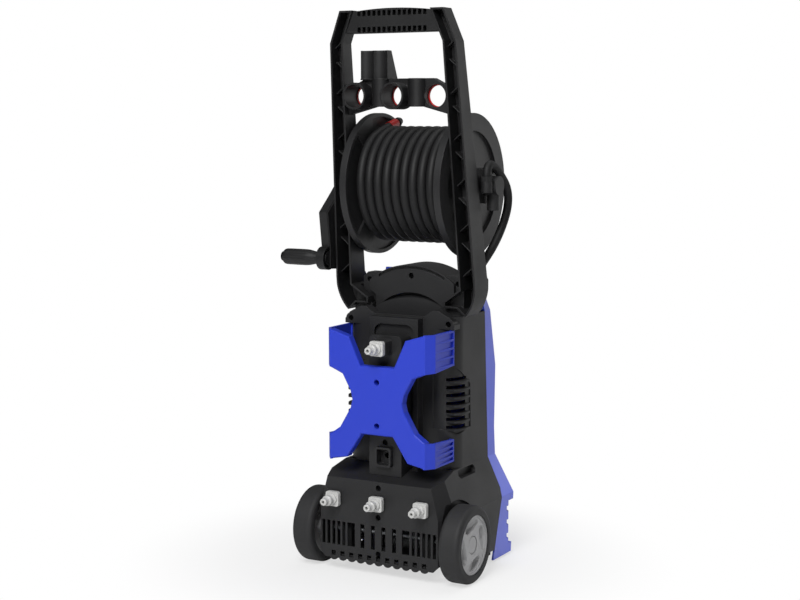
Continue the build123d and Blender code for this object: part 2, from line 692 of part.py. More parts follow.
with BuildPart() as rear_casing:
    add(casing_form.part)
    split(bisect_by=Plane.XY.offset(TOP_Z), keep=Keep.BOTTOM)
    # Raised corners with flat faces for the upper screws
    for _, side in SIDES:
        corner = [(UPPER_HALF, EAR_LOW_Z), (UPPER_HALF, EAR_SCREW_Z - 1), (EAR_SCREW_X + 1.5, TOP_Z),
                  (EAR_SCREW_X - 18, CORNER_TOP_Z), (EAR_SCREW_X - 27, CORNER_TOP_Z),
                  (EAR_SCREW_X - 41, TOP_Z), (EAR_SCREW_X - 41, EAR_LOW_Z)]
        prism_y([(side * x, z) for x, z in corner], CORNER_Y, UPPER_REAR_Y)
    add(rear_room.part, mode=Mode.SUBTRACT)
    parting(0, -200)
    # Rounded recess in the pad, with walls of its own, in which the spine stands
    block((-RECESS_HALF - WALL, RECESS_HALF + WALL), (PAD_Y + WALL / 2, PAD_Y + RECESS_DEPTH + WALL),
          (SHOULDER_Z - WALL, RECESS_TOP_Z + WALL))
    with BuildSketch(rear_view(PAD_Y + RECESS_DEPTH)) as recess:
        with BuildLine():
            Polyline((RECESS_HALF, recess_low_z), (-RECESS_HALF, recess_low_z),
                     (-RECESS_HALF, RECESS_TOP_Z), (RECESS_HALF, RECESS_TOP_Z), close=True)
        make_face()
        fillet(recess.vertices().group_by(Axis.Y)[-1], RECESS_CORNER)
    extrude(amount=RECESS_DEPTH + 1, mode=Mode.SUBTRACT)
    # Hollows for the fingers in the sloping shoulders
    add(finger_walls.part)
    for _, side in SIDES:
        with BuildSketch(side_view(side * FINGER_X)):
            with Locations((FINGER_Y, FINGER_Z)):
                SlotOverall(FINGER_LENGTH, FINGER_HEIGHT)
        extrude(amount=side * (FLANK_HALF - FINGER_X), mode=Mode.SUBTRACT)
    # Sockets for the lower nozzles on flat seats, and bosses for the screws
    for index in (-1, 0, 1):
        middle = index * LOWER_NOZZLE_X
        block((middle - SEAT_HALF, middle + SEAT_HALF), (REAR_Y, REAR_Y + 3 * WALL),
              (LOWER_NOZZLE_Z - SEAT_HALF, LOWER_NOZZLE_Z + SEAT_HALF))
        nozzle_socket(middle, REAR_Y, SOCKET_PROUD, LOWER_NOZZLE_Z)
    for place in casing_screws:
        screw_boss(*place, BOSS_R)
    block((-FLANK_HALF, FLANK_HALF), (-200, 200), (0, SKIRT_Z), Mode.SUBTRACT)
    for _, side in SIDES:
        prism_y([(side * (REAR_HALF - SKIRT_CUT), SKIRT_Z), (side * (REAR_HALF + SKIRT_CUT), SKIRT_Z),
                 (side * (REAR_HALF + SKIRT_CUT), SKIRT_Z + 2 * SKIRT_RISE)], AXLE_Y, -200, Mode.SUBTRACT)
    # Shoulders under the feet of the handle, and the scooped step up to the top cover
    for _, side in SIDES:
        prism_y([(side * (FOOT_IN - 2), TOP_Z - 1), (side * (FOOT_IN - 2), FOOT_Z - FIT),
                 (side * (FOOT_IN + 22), FOOT_Z - FIT), (side * UPPER_HALF, TOP_Z + 5),
                 (side * UPPER_HALF, TOP_Z - 1)], ARM_FRONT_LOW, UPPER_REAR_Y + UPPER_CORNER_R)
    add(scoop.part)
    # Upright slots and the notched lower edge of the rear wall
    slot_z = (SLOT_LOW_Z + SLOT_HIGH_Z) / 2
    slot_height = SLOT_HIGH_Z - SLOT_LOW_Z
    with BuildSketch(rear_view(REAR_Y + 4 * WALL)):
        with Locations((0, slot_z)):
            with GridLocations(SLOT_WIDE_PITCH, 1, 4, 1):
                Rectangle(SLOT_WIDE, slot_height)
            with GridLocations(2 * SLOT_TWIN_X, 1, 2, 1):
                Rectangle(SLOT_TWIN, slot_height)
        for _, side in SIDES:
            with Locations((side * (SLOT_NARROW_START + 2 * SLOT_NARROW_PITCH), slot_z)):
                with GridLocations(SLOT_NARROW_PITCH, 1, 5, 1):
                    Rectangle(SLOT_NARROW, slot_height)
        with Locations((0, NOTCH_Z)):
            with GridLocations(NOTCH_PITCH, 1, NOTCHES, 1):
                Rectangle(NOTCH, NOTCH)
    extrude(amount=5 * WALL, mode=Mode.SUBTRACT)
    # Side vents that wrap round the rear corners
    add(vent_panels.part, mode=Mode.SUBTRACT)
    add(gills.part)
    with BuildSketch(Plane.XY.offset(VENT_LOW_Z)) as vent_plan:
        for _, side in SIDES:
            with Locations((side * (vent_inner + 20), (VENT_REAR_Y + VENT_FRONT_Y) / 2)):
                Rectangle(40, VENT_FRONT_Y - VENT_REAR_Y)
    for index in range(VENTS):
        with Locations((0, 0, index * VENT_PITCH)):
            add(extrude(vent_plan.sketch, amount=VENT_HEIGHT, mode=Mode.PRIVATE), mode=Mode.SUBTRACT)
    # Axle holes in the arch walls
    rod_x(-FLANK_HALF, FLANK_HALF, AXLE_Y, WHEEL_R, AXLE_R + FIT, Mode.SUBTRACT)
    # Hole for the lead hose, and the screw holes
    rod_z(TOP_Z - WALL - 1, TOP_Z + 1, GLAND_X, GLAND_Y, LEAD_R + GLAND_WALL, Mode.SUBTRACT)
    for place in casing_screws:
        screw_hole(*place)
keep(rear_casing, "rear_casing")

with BuildPart() as front_room:
    add(casing_room.part)
    # The head keeps a rear wall of its own, open only behind the switch
    block((-FLANK_HALF, FLANK_HALF), (UPPER_REAR_Y, PART_UPPER_Y + PART_GAP + WALL), (TOP_Z, HEAD_Z),
          Mode.SUBTRACT)
    block((-SWITCH_HALF - FIT, SWITCH_HALF + FIT), (PART_TOP_Y - WALL, PART_UPPER_Y + 2 * WALL),
          (KNOB_Z - SWITCH_HEIGHT / 2 - FIT, KNOB_Z + SWITCH_HEIGHT / 2 + FIT))

# Cut front corners, first as solid blocks whose outer part is cut away again
cut_y = TOE_Y - TOE_CUT_DEPTH
cut_x = FLANK_HALF - TOE_CUT
far_y = cut_y + TOE_CUT + 1
cut_height = TOE_CUT_HIGH_Z - TOE_CUT_LOW_Z
with BuildPart() as toe_walls:
    for _, side in SIDES:
        with BuildSketch(Plane.XY.offset(TOE_CUT_LOW_Z - WALL)):
            with BuildLine():
                Polyline((side * FLANK_HALF, cut_y - WALL - 1), (side * FLANK_HALF, far_y),
                         (side * (cut_x - WALL - 1), far_y), close=True)
            make_face()
        extrude(amount=cut_height + 2 * WALL)
    add(casing_form.part, mode=Mode.INTERSECT)

with BuildPart() as front_cover:
    add(casing_form.part)
    rod_y(KNOB_PAD_Y, HEAD_FRONT_Y, 0, KNOB_Z, KNOB_PAD_R)
    add(front_room.part, mode=Mode.SUBTRACT)
    parting(PART_GAP, 300)
    add(toe_walls.part)
    for _, side in SIDES:
        with BuildSketch(Plane.XY.offset(TOE_CUT_LOW_Z)):
            with BuildLine():
                Polyline((side * FLANK_HALF, cut_y), (side * (FLANK_HALF + 1), cut_y),
                         (side * (FLANK_HALF + 1), far_y + FRONT_BULGE), (side * cut_x, far_y + FRONT_BULGE),
                         (side * cut_x, far_y), close=True)
            make_face()
        extrude(amount=cut_height, mode=Mode.SUBTRACT)
    # Bars of the grille, which runs across the front and round the cut corners
    for index in range(GRILLE_SLOTS):
        z = GRILLE_LOW_Z + index * GRILLE_PITCH
        for low, high in ((-FLANK_HALF - 1, -FLANK_HALF + 30), (-28, 34), (38, FLANK_HALF + 1)):
            block((low, high), (cut_y - 2 * WALL, TOE_Y + 30), (z, z + GRILLE_HEIGHT), Mode.SUBTRACT)
    rod_y(KNOB_PAD_Y + 1, 0, 0, KNOB_Z, KNOB_SHAFT_R + FIT, Mode.SUBTRACT)
    rod_y(TOE_Y + 30, TOE_Y - 30, WATER_X, WATER_Z, WATER_R + WALL + FIT, Mode.SUBTRACT)
keep(front_cover, "front_cover")


# Spray nozzles, their sockets, the rear spine and the cord wrap

def nozzle(x, face_y, z):
    """Quick-connect spray nozzle: square collar, stepped spigot with a bore, plug into the socket."""
    with BuildSketch(rear_view(face_y - FIT)) as collar:
        with Locations((x, z)):
            RectangleRounded(NOZZLE_COLLAR, NOZZLE_COLLAR, NOZZLE_CORNER)
    extrude(collar.sketch, amount=NOZZLE_COLLAR_DEPTH)
    tip = face_y - NOZZLE_REACH
    back = face_y - FIT - NOZZLE_COLLAR_DEPTH
    with BuildSketch(side_view(x)) as profile:
        with BuildLine():
            Polyline((back + 1, z), (back + 1, z + NOZZLE_BASE_R), (back - 3, z + NOZZLE_BASE_R),
                     (back - 4.5, z + NOZZLE_NECK_R), (back - 8, z + NOZZLE_NECK_R),
                     (back - 9.5, z + NOZZLE_RING_R), (back - 14.5, z + NOZZLE_RING_R),
                     (back - 16.5, z + NOZZLE_NECK_R), (tip + 6, z + NOZZLE_NECK_R - 1),
                     (tip + 4.5, z + NOZZLE_TIP_R), (tip + 1, z + NOZZLE_TIP_R),
                     (tip, z + NOZZLE_TIP_R - 1), (tip, z), close=True)
        make_face()
    revolve(profile.sketch, axis=Axis((x, 0, z), (0, 1, 0)))
    rod_y(face_y + NOZZLE_PLUG, face_y - FIT - 1, x, z, NOZZLE_PLUG_R)
    rod_y(face_y + NOZZLE_PLUG, tip - 1, x, z, NOZZLE_BORE_R, Mode.SUBTRACT)


nozzle_places = (
    ("left", -LOWER_NOZZLE_X, REAR_Y, SOCKET_PROUD, LOWER_NOZZLE_Z),
    ("centre", 0, REAR_Y, SOCKET_PROUD, LOWER_NOZZLE_Z),
    ("right", LOWER_NOZZLE_X, REAR_Y, SOCKET_PROUD, LOWER_NOZZLE_Z),
    ("top", 0, SPINE_Y, TOP_SOCKET_PROUD, TOP_NOZZLE_Z),
)
for name, x, wall_y, proud, z in nozzle_places:
    with BuildPart() as spray_nozzle:
        nozzle(x, wall_y - proud, z)
    keep(spray_nozzle, f"spray_nozzle_{name}")

spine_back = PAD_Y + RECESS_DEPTH - FIT
with BuildPart() as rear_spine:
    with BuildSketch(rear_view(spine_back)) as spine_outline:
        with BuildLine():
            Polyline((SPINE_HALF, SHELF_LOW_Z), (-SPINE_HALF, SHELF_LOW_Z), (-SPINE_HALF, SPINE_TOP_Z),
                     (SPINE_HALF, SPINE_TOP_Z), close=True)
        make_face()
        fillet(spine_outline.vertices().group_by(Axis.Y)[-1], SPINE_CORNER)
    extrude(amount=spine_back - SPINE_Y)
    with BuildSketch(rear_view(spine_back)) as spine_room:
        add(spine_outline.sketch_local)
        offset(amount=-WALL, mode=Mode.REPLACE)
    extrude(amount=spine_back - SPINE_Y - WALL, mode=Mode.SUBTRACT)
    # The lower end follows the sloping shelf
    across = (-SPINE_HALF - 1, SPINE_HALF + 1)
    prism_x([(SHELF_LOW_Y, SHELF_LOW_Z - 1), (SHELF_LOW_Y, SHELF_LOW_Z + FIT),
             (UPPER_REAR_Y, SHOULDER_Z + FIT), (UPPER_REAR_Y, SHELF_LOW_Z - 1)], *across, Mode.SUBTRACT)
    block(across, (PAD_Y - FIT, spine_back + 1), (SHELF_LOW_Z, recess_low_z + FIT), Mode.SUBTRACT)
    for z in WRAP_SCREW_Z:
        rod_y(spine_back, SPINE_Y, 0, z, BOSS_R)
        rod_y(SPINE_Y + SCREW_LENGTH, SPINE_Y - 1, 0, z, SCREW_R + RUN, Mode.SUBTRACT)
    nozzle_socket(0, SPINE_Y, TOP_SOCKET_PROUD, TOP_NOZZLE_Z)
    block((-INLET_HALF - RUN, INLET_HALF + RUN), (SPINE_Y - 1, SPINE_Y + WALL + 1),
          (INLET_LOW_Z - RUN, INLET_HIGH_Z + RUN), Mode.SUBTRACT)
    for place in spine_screws:
        screw_boss(*place, SCREW_HEAD_R + WALL / 2)
        screw_hole(*place)
keep(rear_spine, "rear_spine")

with BuildPart() as cord_inlet:
    inlet_z = (INLET_LOW_Z + INLET_HIGH_Z) / 2
    inlet_height = INLET_HIGH_Z - INLET_LOW_Z
    with BuildSketch(rear_view(INLET_Y + INLET_DEPTH)):
        with Locations((0, inlet_z)):
            RectangleRounded(2 * INLET_HALF, inlet_height, NOZZLE_CORNER)
    extrude(amount=INLET_DEPTH)
    with BuildSketch(rear_view(INLET_Y + INLET_DEPTH - WALL)):
        with Locations((0, inlet_z)):
            RectangleRounded(2 * (INLET_HALF - WALL), inlet_height - 2 * WALL, NOZZLE_CORNER - 1)
    extrude(amount=INLET_DEPTH, mode=Mode.SUBTRACT)
    rod_y(INLET_Y + INLET_DEPTH + 1, INLET_Y, 0, inlet_z, CORD_GLAND_R, Mode.SUBTRACT)
keep(cord_inlet, "cord_inlet")


def wrap_outline(inset):
    """Rear view of the cross-shaped cord wrap, drawn on its front plane."""
    half = [(29, 322.5), (48.5, 365), (WRAP_TIP_X, WRAP_TOP_Z), (WRAP_TIP_X, WRAP_ARM_Z),
            (60, 308), (WRAP_WAIST + 3, WRAP_WAIST_Z + 13), (WRAP_WAIST, WRAP_WAIST_Z),
            (WRAP_WAIST + 3, WRAP_WAIST_Z - 13), (64.5, 226), (WRAP_TIP_X, WRAP_LEG_Z),
            (WRAP_TIP_X, WRAP_LOW_Z), (52, 181), (27, 218.5)]
    other = [(-x, z) for x, z in reversed(half)]
    with BuildSketch(rear_view(WRAP_Y + WRAP_DEPTH)) as outline:
        with BuildLine():
            Polyline(*half, *other, close=True)
        make_face()
        if inset:
            offset(amount=-inset, kind=Kind.INTERSECTION, mode=Mode.REPLACE)
    return outline.sketch


with BuildPart() as cord_wrap:
    extrude(wrap_outline(0), amount=WRAP_DEPTH)
    extrude(wrap_outline(WRAP_WALL), amount=WRAP_DEPTH - WRAP_WALL, mode=Mode.SUBTRACT)
    rear_edges = cord_wrap.faces().sort_by(Axis.Y)[0].outer_wire().edges()
    chamfer([edge for edge in rear_edges if abs(edge.center().X) < WRAP_TIP_X - 1], WRAP_BEVEL)
    # Flanks of the four arms, bent back round the casing, each with a lip at its end
    bend_y = WRAP_Y + WRAP_DEPTH
    inner_x = WRAP_SIDE_X - WRAP_FLANK
    for _, side in SIDES:
        for low, high, up in ((WRAP_ARM_Z, WRAP_TOP_Z, 1), (WRAP_LOW_Z, WRAP_LEG_Z, 0)):
            with BuildSketch(Plane.XY.offset(low)):
                with BuildLine():
                    Polyline((side * (WRAP_TIP_X - WRAP_WALL), WRAP_Y), (side * WRAP_TIP_X, WRAP_Y),
                             (side * WRAP_SIDE_X, bend_y), (side * WRAP_SIDE_X, WRAP_END_Y),
                             (side * (inner_x - WRAP_LIP), WRAP_END_Y),
                             (side * (inner_x - WRAP_LIP), WRAP_END_Y - WRAP_LIP),
                             (side * inner_x, WRAP_END_Y - WRAP_LIP), (side * inner_x, bend_y + 1),
                             (side * (WRAP_TIP_X - WRAP_WALL), WRAP_Y + WRAP_WALL + 1), close=True)
                make_face()
            extrude(amount=high - low)
            # Grooves between thin ribs, deeper towards the front
            start = low + WRAP_RIB + up * WRAP_RISE
            pitch = (high - low - WRAP_RISE - WRAP_RIB) / WRAP_SLOTS
            for index in range(WRAP_SLOTS):
                with BuildSketch(Plane.XY.offset(start + index * pitch)):
                    with BuildLine():
                        Polyline((side * WRAP_SIDE_X, bend_y + 2), (side * (WRAP_SIDE_X + 1), bend_y + 2),
                                 (side * (WRAP_SIDE_X + 1), WRAP_END_Y - WRAP_RIB),
                                 (side * (WRAP_SIDE_X - WRAP_SLOT_DEPTH), WRAP_END_Y - WRAP_RIB), close=True)
                    make_face()
                extrude(amount=pitch - WRAP_RIB, mode=Mode.SUBTRACT)
        # The flanks narrow towards the front
        reach = (side * WRAP_TIP_X, side * (WRAP_SIDE_X + 1))
        prism_x([(WRAP_Y - 1, WRAP_ARM_Z), (WRAP_END_Y + 1, WRAP_ARM_Z + WRAP_RISE),
                 (WRAP_END_Y + 1, WRAP_ARM_Z - 1), (WRAP_Y - 1, WRAP_ARM_Z - 1)], *reach, Mode.SUBTRACT)
        prism_x([(WRAP_Y - 1, WRAP_LEG_Z), (WRAP_END_Y + 1, WRAP_LEG_Z - WRAP_RISE),
                 (WRAP_END_Y + 1, WRAP_LEG_Z + 1), (WRAP_Y - 1, WRAP_LEG_Z + 1)], *reach, Mode.SUBTRACT)
    for z in WRAP_SCREW_Z:
        rod_y(SPINE_Y, WRAP_Y + 1, 0, z, BOSS_R)
        rod_y(SPINE_Y + 1, WRAP_Y - 1, 0, z, SCREW_R + RUN, Mode.SUBTRACT)
        seat_y = SPINE_Y - SCREW_LENGTH / 2 + SCREW_HEAD + RUN
        rod_y(seat_y, WRAP_Y - 1, 0, z, SCREW_HEAD_R + FIT, Mode.SUBTRACT)
keep(cord_wrap, "cord_wrap")


# Top cover

dome_rise = DOME_TOP_Z - DOME_SIDE_Z
dome_r = (DOME_HALF ** 2 + dome_rise ** 2) / (2 * dome_rise)


def roof_z(x):
    """Height of the arched roof at a distance from the middle."""
    return DOME_TOP_Z - dome_r + math.sqrt(dome_r ** 2 - x ** 2)


def dome_outline(inset):
    """Rear view of the arched top cover."""
    half = DOME_HALF - inset
    foot = DOME_FOOT_HALF - inset
    with BuildSketch(rear_view(DOME_FRONT_Y)) as outline:
        with BuildLine():
            Polyline((half, DOME_SIDE_Z), (half, DOME_SIDE_Z - 14), (foot, DOME_SIDE_Z - 23),
                     (foot, TOP_Z + FIT), (-foot, TOP_Z + FIT), (-foot, DOME_SIDE_Z - 23),
                     (-half, DOME_SIDE_Z - 14), (-half, DOME_SIDE_Z))
            ThreePointArc((-half, DOME_SIDE_Z), (0, DOME_TOP_Z - inset), (half, DOME_SIDE_Z))
        make_face()
    return outline.sketch


def wing_outline(y, inset):
    """Rear view of the lower wings beside the arch."""
    half = WING_HALF - inset
    top = WING_TOP_Z - inset
    with BuildSketch(rear_view(y)) as outline:
        with BuildLine():
            Polyline((half, WING_LOW_Z + inset), (half, top - 8), (half - 8, top), (-half + 8, top),
                     (-half, top - 8), (-half, WING_LOW_Z + inset), close=True)
        make_face()
    return outline.sketch


with BuildPart() as top_cover:
    extrude(dome_outline(0), amount=DOME_FRONT_Y - DOME_REAR_Y)
    extrude(wing_outline(WING_FRONT_Y, 0), amount=WING_FRONT_Y - WING_REAR_Y)
    extrude(dome_outline(WALL), amount=DOME_FRONT_Y - DOME_REAR_Y - DOME_FACE, mode=Mode.SUBTRACT)
    extrude(wing_outline(WING_FRONT_Y - WALL, WALL), amount=WING_FRONT_Y - WING_REAR_Y - 2 * WALL,
            mode=Mode.SUBTRACT)
    # Arched groove under the roof's edge, and the hollow above the casing's step
    groove_x = DOME_HALF - 4 * DOME_RIM
    groove_z = roof_z(groove_x) - DOME_RIM / 2
    with BuildSketch(rear_view(DOME_REAR_Y + DOME_RIM)):
        with BuildLine():
            ThreePointArc((-groove_x, groove_z), (0, DOME_TOP_Z - DOME_RIM / 2), (groove_x, groove_z))
            Line((groove_x, groove_z), (groove_x, groove_z - DOME_RIM))
            ThreePointArc((groove_x, groove_z - DOME_RIM), (0, DOME_TOP_Z - 1.5 * DOME_RIM),
                          (-groove_x, groove_z - DOME_RIM))
            Line((-groove_x, groove_z - DOME_RIM), (-groove_x, groove_z))
        make_face()
    extrude(amount=DOME_RIM + 1, mode=Mode.SUBTRACT)
    extrude(scoop_outline(0), amount=SCOOP_DEPTH + 1, mode=Mode.SUBTRACT)
    for place in dome_screws:
        screw_boss(*place, BOSS_R)
        screw_hole(*place)
keep(top_cover, "top_cover")


# Handle

def arm_inner_x(z):
    """Inner edge of the arms at a height between knee and kink."""
    return ARM_IN_LOW + (ARM_IN_HIGH - ARM_IN_LOW) * (z - ARM_KNEE_Z) / (ARM_KINK_Z - ARM_KNEE_Z)


def arm_rear_y(z):
    """Rear edge of the arms at a height up to the kink."""
    return ARM_REAR_LOW + (ARM_REAR_HIGH - ARM_REAR_LOW) * (z - TOP_Z) / (ARM_KINK_Z - TOP_Z)


def arm_volume(side, inset, web, rear):
    """One arm of the handle with its foot: the rear view cut to the side view."""
    with BuildSketch(rear_view(60)) as outline:
        with BuildLine():
            Polyline((side * (ARM_OUT_LOW - 18), TOP_Z), (side * (FOOT_IN + 34), TOP_Z + 1),
                     (side * (FOOT_IN + 22.4), FOOT_Z), (side * FOOT_IN, FOOT_Z),
                     (side * FOOT_IN, FOOT_Z + FOOT_LIP), (side * ARM_IN_LOW, ARM_KNEE_Z - 11),
                     (side * ARM_IN_HIGH, ARM_KINK_Z), (side * ARM_IN_TOP, ARM_TOP_Z),
                     (side * ARM_OUT_TOP, ARM_TOP_Z), (side * ARM_OUT_HIGH, ARM_KINK_Z),
                     (side * ARM_OUT_LOW, ARM_KNEE_Z))
            ThreePointArc((side * ARM_OUT_LOW, ARM_KNEE_Z), (side * (ARM_OUT_LOW - 5), TOP_Z + 20),
                          (side * (ARM_OUT_LOW - 18), TOP_Z))
        make_face()
        if inset:
            offset(amount=-inset, kind=Kind.INTERSECTION, mode=Mode.REPLACE)
    extrude(outline.sketch, amount=180)
    edge = ARM_KNEE_Z + 6
    edge_y = ARM_FRONT_LOW - ARM_STEP
    prism_x([(ARM_REAR_LOW - rear, TOP_Z - 5), (ARM_REAR_HIGH - rear, ARM_KINK_Z),
             (ARM_REAR_TOP - rear, ARM_TOP_Z + 5), (ARM_FRONT_TOP - web, ARM_TOP_Z + 5),
             (ARM_FRONT_HIGH - web, ARM_KINK_Z), (edge_y - web, edge), (ARM_FRONT_LOW - web, edge - ARM_STEP),
             (ARM_FRONT_LOW - web, TOP_Z - 5)], -ARM_OUT_LOW, ARM_OUT_LOW, Mode.INTERSECT)
    inner = sorted((side * (FOOT_IN - 1), side * (ARM_IN_LOW - 3 + inset)))
    block(inner, (FOOT_FRONT_Y - web, 60), (TOP_Z, ARM_KNEE_Z - 9), Mode.SUBTRACT)


for name, side in SIDES:
    with BuildPart() as arm_channel:
        arm_volume(side, ARM_WALL, ARM_WEB, 30)
        count = int((ARM_TOP_Z - ARM_KNEE_Z) / ARM_RIB_PITCH)
        for index in range(count):
            z = ARM_KNEE_Z + (index + 0.5) * ARM_RIB_PITCH
            lean = 40 if index % 2 else -40
            with Locations(Location((side * (arm_inner_x(z) + 12), arm_rear_y(z) + ARM_RIB_SINK + 36, z),
                                    (0, lean, 0))):
                Box(60, 72, ARM_RIB, mode=Mode.SUBTRACT)
    with BuildPart() as handle_arm:
        arm_volume(side, 0, 0, 0)
        add(arm_channel.part, mode=Mode.SUBTRACT)
        # Ear that carries the reel's bearing in front of the arm
        with BuildSketch(side_view(side * EAR_IN)):
            with BuildLine():
                Polyline((arm_rear_y(REEL_Z) + 28, REEL_Z - EAR_TOP), (REEL_Y, REEL_Z - EAR_TOP),
                         (REEL_Y, REEL_Z + EAR_TOP), (arm_rear_y(REEL_Z) + 28, REEL_Z + EAR_TOP), close=True)
            make_face()
            with Locations((REEL_Y, REEL_Z)):
                Circle(EAR_R)
        extrude(amount=side * (EAR_OUT - EAR_IN))
        ends = sorted((side * (EAR_IN - 5), side * (EAR_OUT + 5)))
        rod_x(ends[0], ends[1], REEL_Y, REEL_Z, BUSH_R, Mode.SUBTRACT)
    keep(handle_arm, f"handle_arm_{name}")

    with BuildPart() as reel_bush:
        rod_x(side * EAR_IN, side * EAR_OUT, REEL_Y, REEL_Z, BUSH_R)
        rod_x(side * (EAR_IN - BUSH_FLANGE), side * EAR_IN, REEL_Y, REEL_Z, BUSH_FLANGE_R)
        rod_x(side * (EAR_IN - 5), side * (EAR_OUT + 5), REEL_Y, REEL_Z, SPINDLE_R + RUN, Mode.SUBTRACT)
    keep(reel_bush, f"reel_bush_{name}")


def arm_inner_top(z):
    """Inner edge of the arms between the kink and the top."""
    return ARM_IN_HIGH + (ARM_IN_TOP - ARM_IN_HIGH) * (z - ARM_KINK_Z) / (ARM_TOP_Z - ARM_KINK_Z)


with BuildPart() as handle_grip:
    low_half = arm_inner_top(GRIP_LOW_Z) - FIT
    top_z = ARM_TOP_Z - GRIP_CROWN
    top_half = arm_inner_top(top_z) - FIT
    with BuildSketch(rear_view(ARM_FRONT_TOP)):
        with BuildLine():
            Polyline((top_half, top_z), (low_half, GRIP_LOW_Z), (-low_half, GRIP_LOW_Z), (-top_half, top_z))
            ThreePointArc((-top_half, top_z), (0, ARM_TOP_Z + GRIP_CROWN), (top_half, top_z))
        make_face()
    extrude(amount=ARM_FRONT_TOP - ARM_REAR_HIGH)
    fillet(handle_grip.edges().filter_by(Axis.X).group_by(Axis.Z)[0], 4)
    with BuildSketch(rear_view(ARM_REAR_HIGH + GRIP_POCKET_DEPTH)):
        row = GRIP_POCKET_HEIGHT / 2 + 1
        for z in (GRIP_LOW_Z + row, ARM_TOP_Z - row):
            with Locations((0, z)):
                with GridLocations(GRIP_POCKET_PITCH, 1, GRIP_POCKETS, 1):
                    Rectangle(GRIP_POCKET, GRIP_POCKET_HEIGHT)
    extrude(amount=GRIP_POCKET_DEPTH + 1, mode=Mode.SUBTRACT)
keep(handle_grip, "handle_grip")


# Lance holder with three round rests and an upright fluted rest

with BuildPart() as lance_holder:
    end_top = arm_inner_x(HOLDER_END_TOP_Z) - FIT
    end_low = arm_inner_x(HOLDER_END_LOW_Z) - FIT
    outline = [(end_top, HOLDER_END_TOP_Z), (58, HOLDER_TOP_Z), (-58, HOLDER_TOP_Z),
               (-end_top, HOLDER_END_TOP_Z), (-end_low, HOLDER_END_LOW_Z), (-42, HOLDER_LOW_Z),
               (42, HOLDER_LOW_Z), (end_low, HOLDER_END_LOW_Z)]
    with BuildSketch(rear_view(HOLDER_FRONT_Y)):
        with BuildLine():
            Polyline(*outline, close=True)
        make_face()
    extrude(amount=HOLDER_FRONT_Y - HOLDER_REAR_Y)
    # Rounded posts between the rests
    for index in (-1, 1):
        rod_z(HOLDER_LOW_Z, HOLDER_TOP_Z, index * HOLDER_HOLE_PITCH / 2, HOLDER_REAR_Y + 3, HOLDER_POST_R)
    # The left and the middle rest are longer tubes than the right one
    for index, rear in ((-1, HOLDER_LEFT_REAR), (0, HOLDER_MIDDLE_REAR)):
        rod_y(HOLDER_FRONT_Y, rear, index * HOLDER_HOLE_PITCH, HOLDER_HOLE_Z,
              HOLDER_HOLE_R + RING_WALL + HOLDER_TUBE_WALL)
    holster_y = HOLDER_REAR_Y - 6
    with BuildSketch(side_view(HOLSTER_LEFT_X)):
        with BuildLine():
            Polyline((holster_y, HOLDER_TOP_Z - 2), (holster_y, HOLSTER_TOP_Z),
                     (holster_y + HOLSTER_DEPTH_TOP, HOLSTER_TOP_Z),
                     (holster_y + HOLSTER_DEPTH_LOW, HOLDER_TOP_Z - 2), close=True)
        make_face()
    extrude(amount=HOLSTER_RIGHT_X - HOLSTER_LEFT_X)
    flute_pitch = (HOLSTER_RIGHT_X - HOLSTER_LEFT_X) / 2
    flute_mid = (HOLSTER_RIGHT_X + HOLSTER_LEFT_X) / 2
    for index in (-1, 1):
        rod_z(HOLDER_TOP_Z, HOLSTER_TOP_Z + 1, flute_mid + index * flute_pitch / 2,
              holster_y - FLUTE_R + 6, FLUTE_R, Mode.SUBTRACT)
    with BuildSketch(rear_view(60)):
        with Locations((0, HOLDER_HOLE_Z)):
            with GridLocations(HOLDER_HOLE_PITCH, 1, 3, 1):
                Circle(HOLDER_HOLE_R + RING_WALL)
    extrude(amount=160, mode=Mode.SUBTRACT)
keep(lance_holder, "lance_holder")

with BuildPart() as holder_rings:
    with BuildSketch(rear_view(HOLDER_FRONT_Y)):
        with Locations((0, HOLDER_HOLE_Z)):
            with GridLocations(HOLDER_HOLE_PITCH, 1, 3, 1):
                Circle(HOLDER_HOLE_R + RING_WALL - FIT)
            with GridLocations(HOLDER_HOLE_PITCH, 1, 3, 1):
                Circle(HOLDER_HOLE_R, mode=Mode.SUBTRACT)
    extrude(amount=RING_LENGTH)
keep(holder_rings, "holder_rings")


# Chassis, axle and wheels

CHASSIS_TOP_Z = CHASSIS_LOW_Z + CHASSIS_THICK
AXLE_END = CAP_FACE - CAP_WALL
HUB_FACE = CAP_FACE - CAP_LENGTH - FIT
DISC_FACE = WHEEL_FACE - RIM_SINK - DISC_DISH
axle_line = Axis((0, AXLE_Y, WHEEL_R), (1, 0, 0))

with BuildPart() as chassis:
    toe_half = FLANK_HALF - WALL - PART_GAP
    tray_z = (CHASSIS_LOW_Z, CHASSIS_TOP_Z)
    arch_y = AXLE_Y + ARCH_R + 2 * WALL
    block((-CHASSIS_HALF, CHASSIS_HALF), (CHASSIS_REAR_Y, CHASSIS_FRONT_Y), tray_z)
    block((-toe_half, toe_half), (arch_y, cut_y - 2 * WALL), tray_z)
    block((WALL - cut_x, cut_x - WALL), (arch_y, CHASSIS_FRONT_Y), tray_z)
    for _, side in SIDES:
        lug = sorted((side * LUG_X, side * (LUG_X + LUG_WIDTH)))
        block(lug, (AXLE_Y - LUG_R, AXLE_Y + LUG_R), (CHASSIS_LOW_Z, WHEEL_R))
        rod_x(lug[0], lug[1], AXLE_Y, WHEEL_R, LUG_R)
    rod_x(-CHASSIS_HALF, CHASSIS_HALF, AXLE_Y, WHEEL_R, AXLE_R + RUN, Mode.SUBTRACT)
keep(chassis, "chassis")

with BuildPart() as front_feet:
    for _, side in SIDES:
        rod_z(0, CHASSIS_LOW_Z, side * FOOT_PAD_X, TOE_Y - FOOT_PAD_INSET, FOOT_PAD_R)
keep(front_feet, "front_feet")

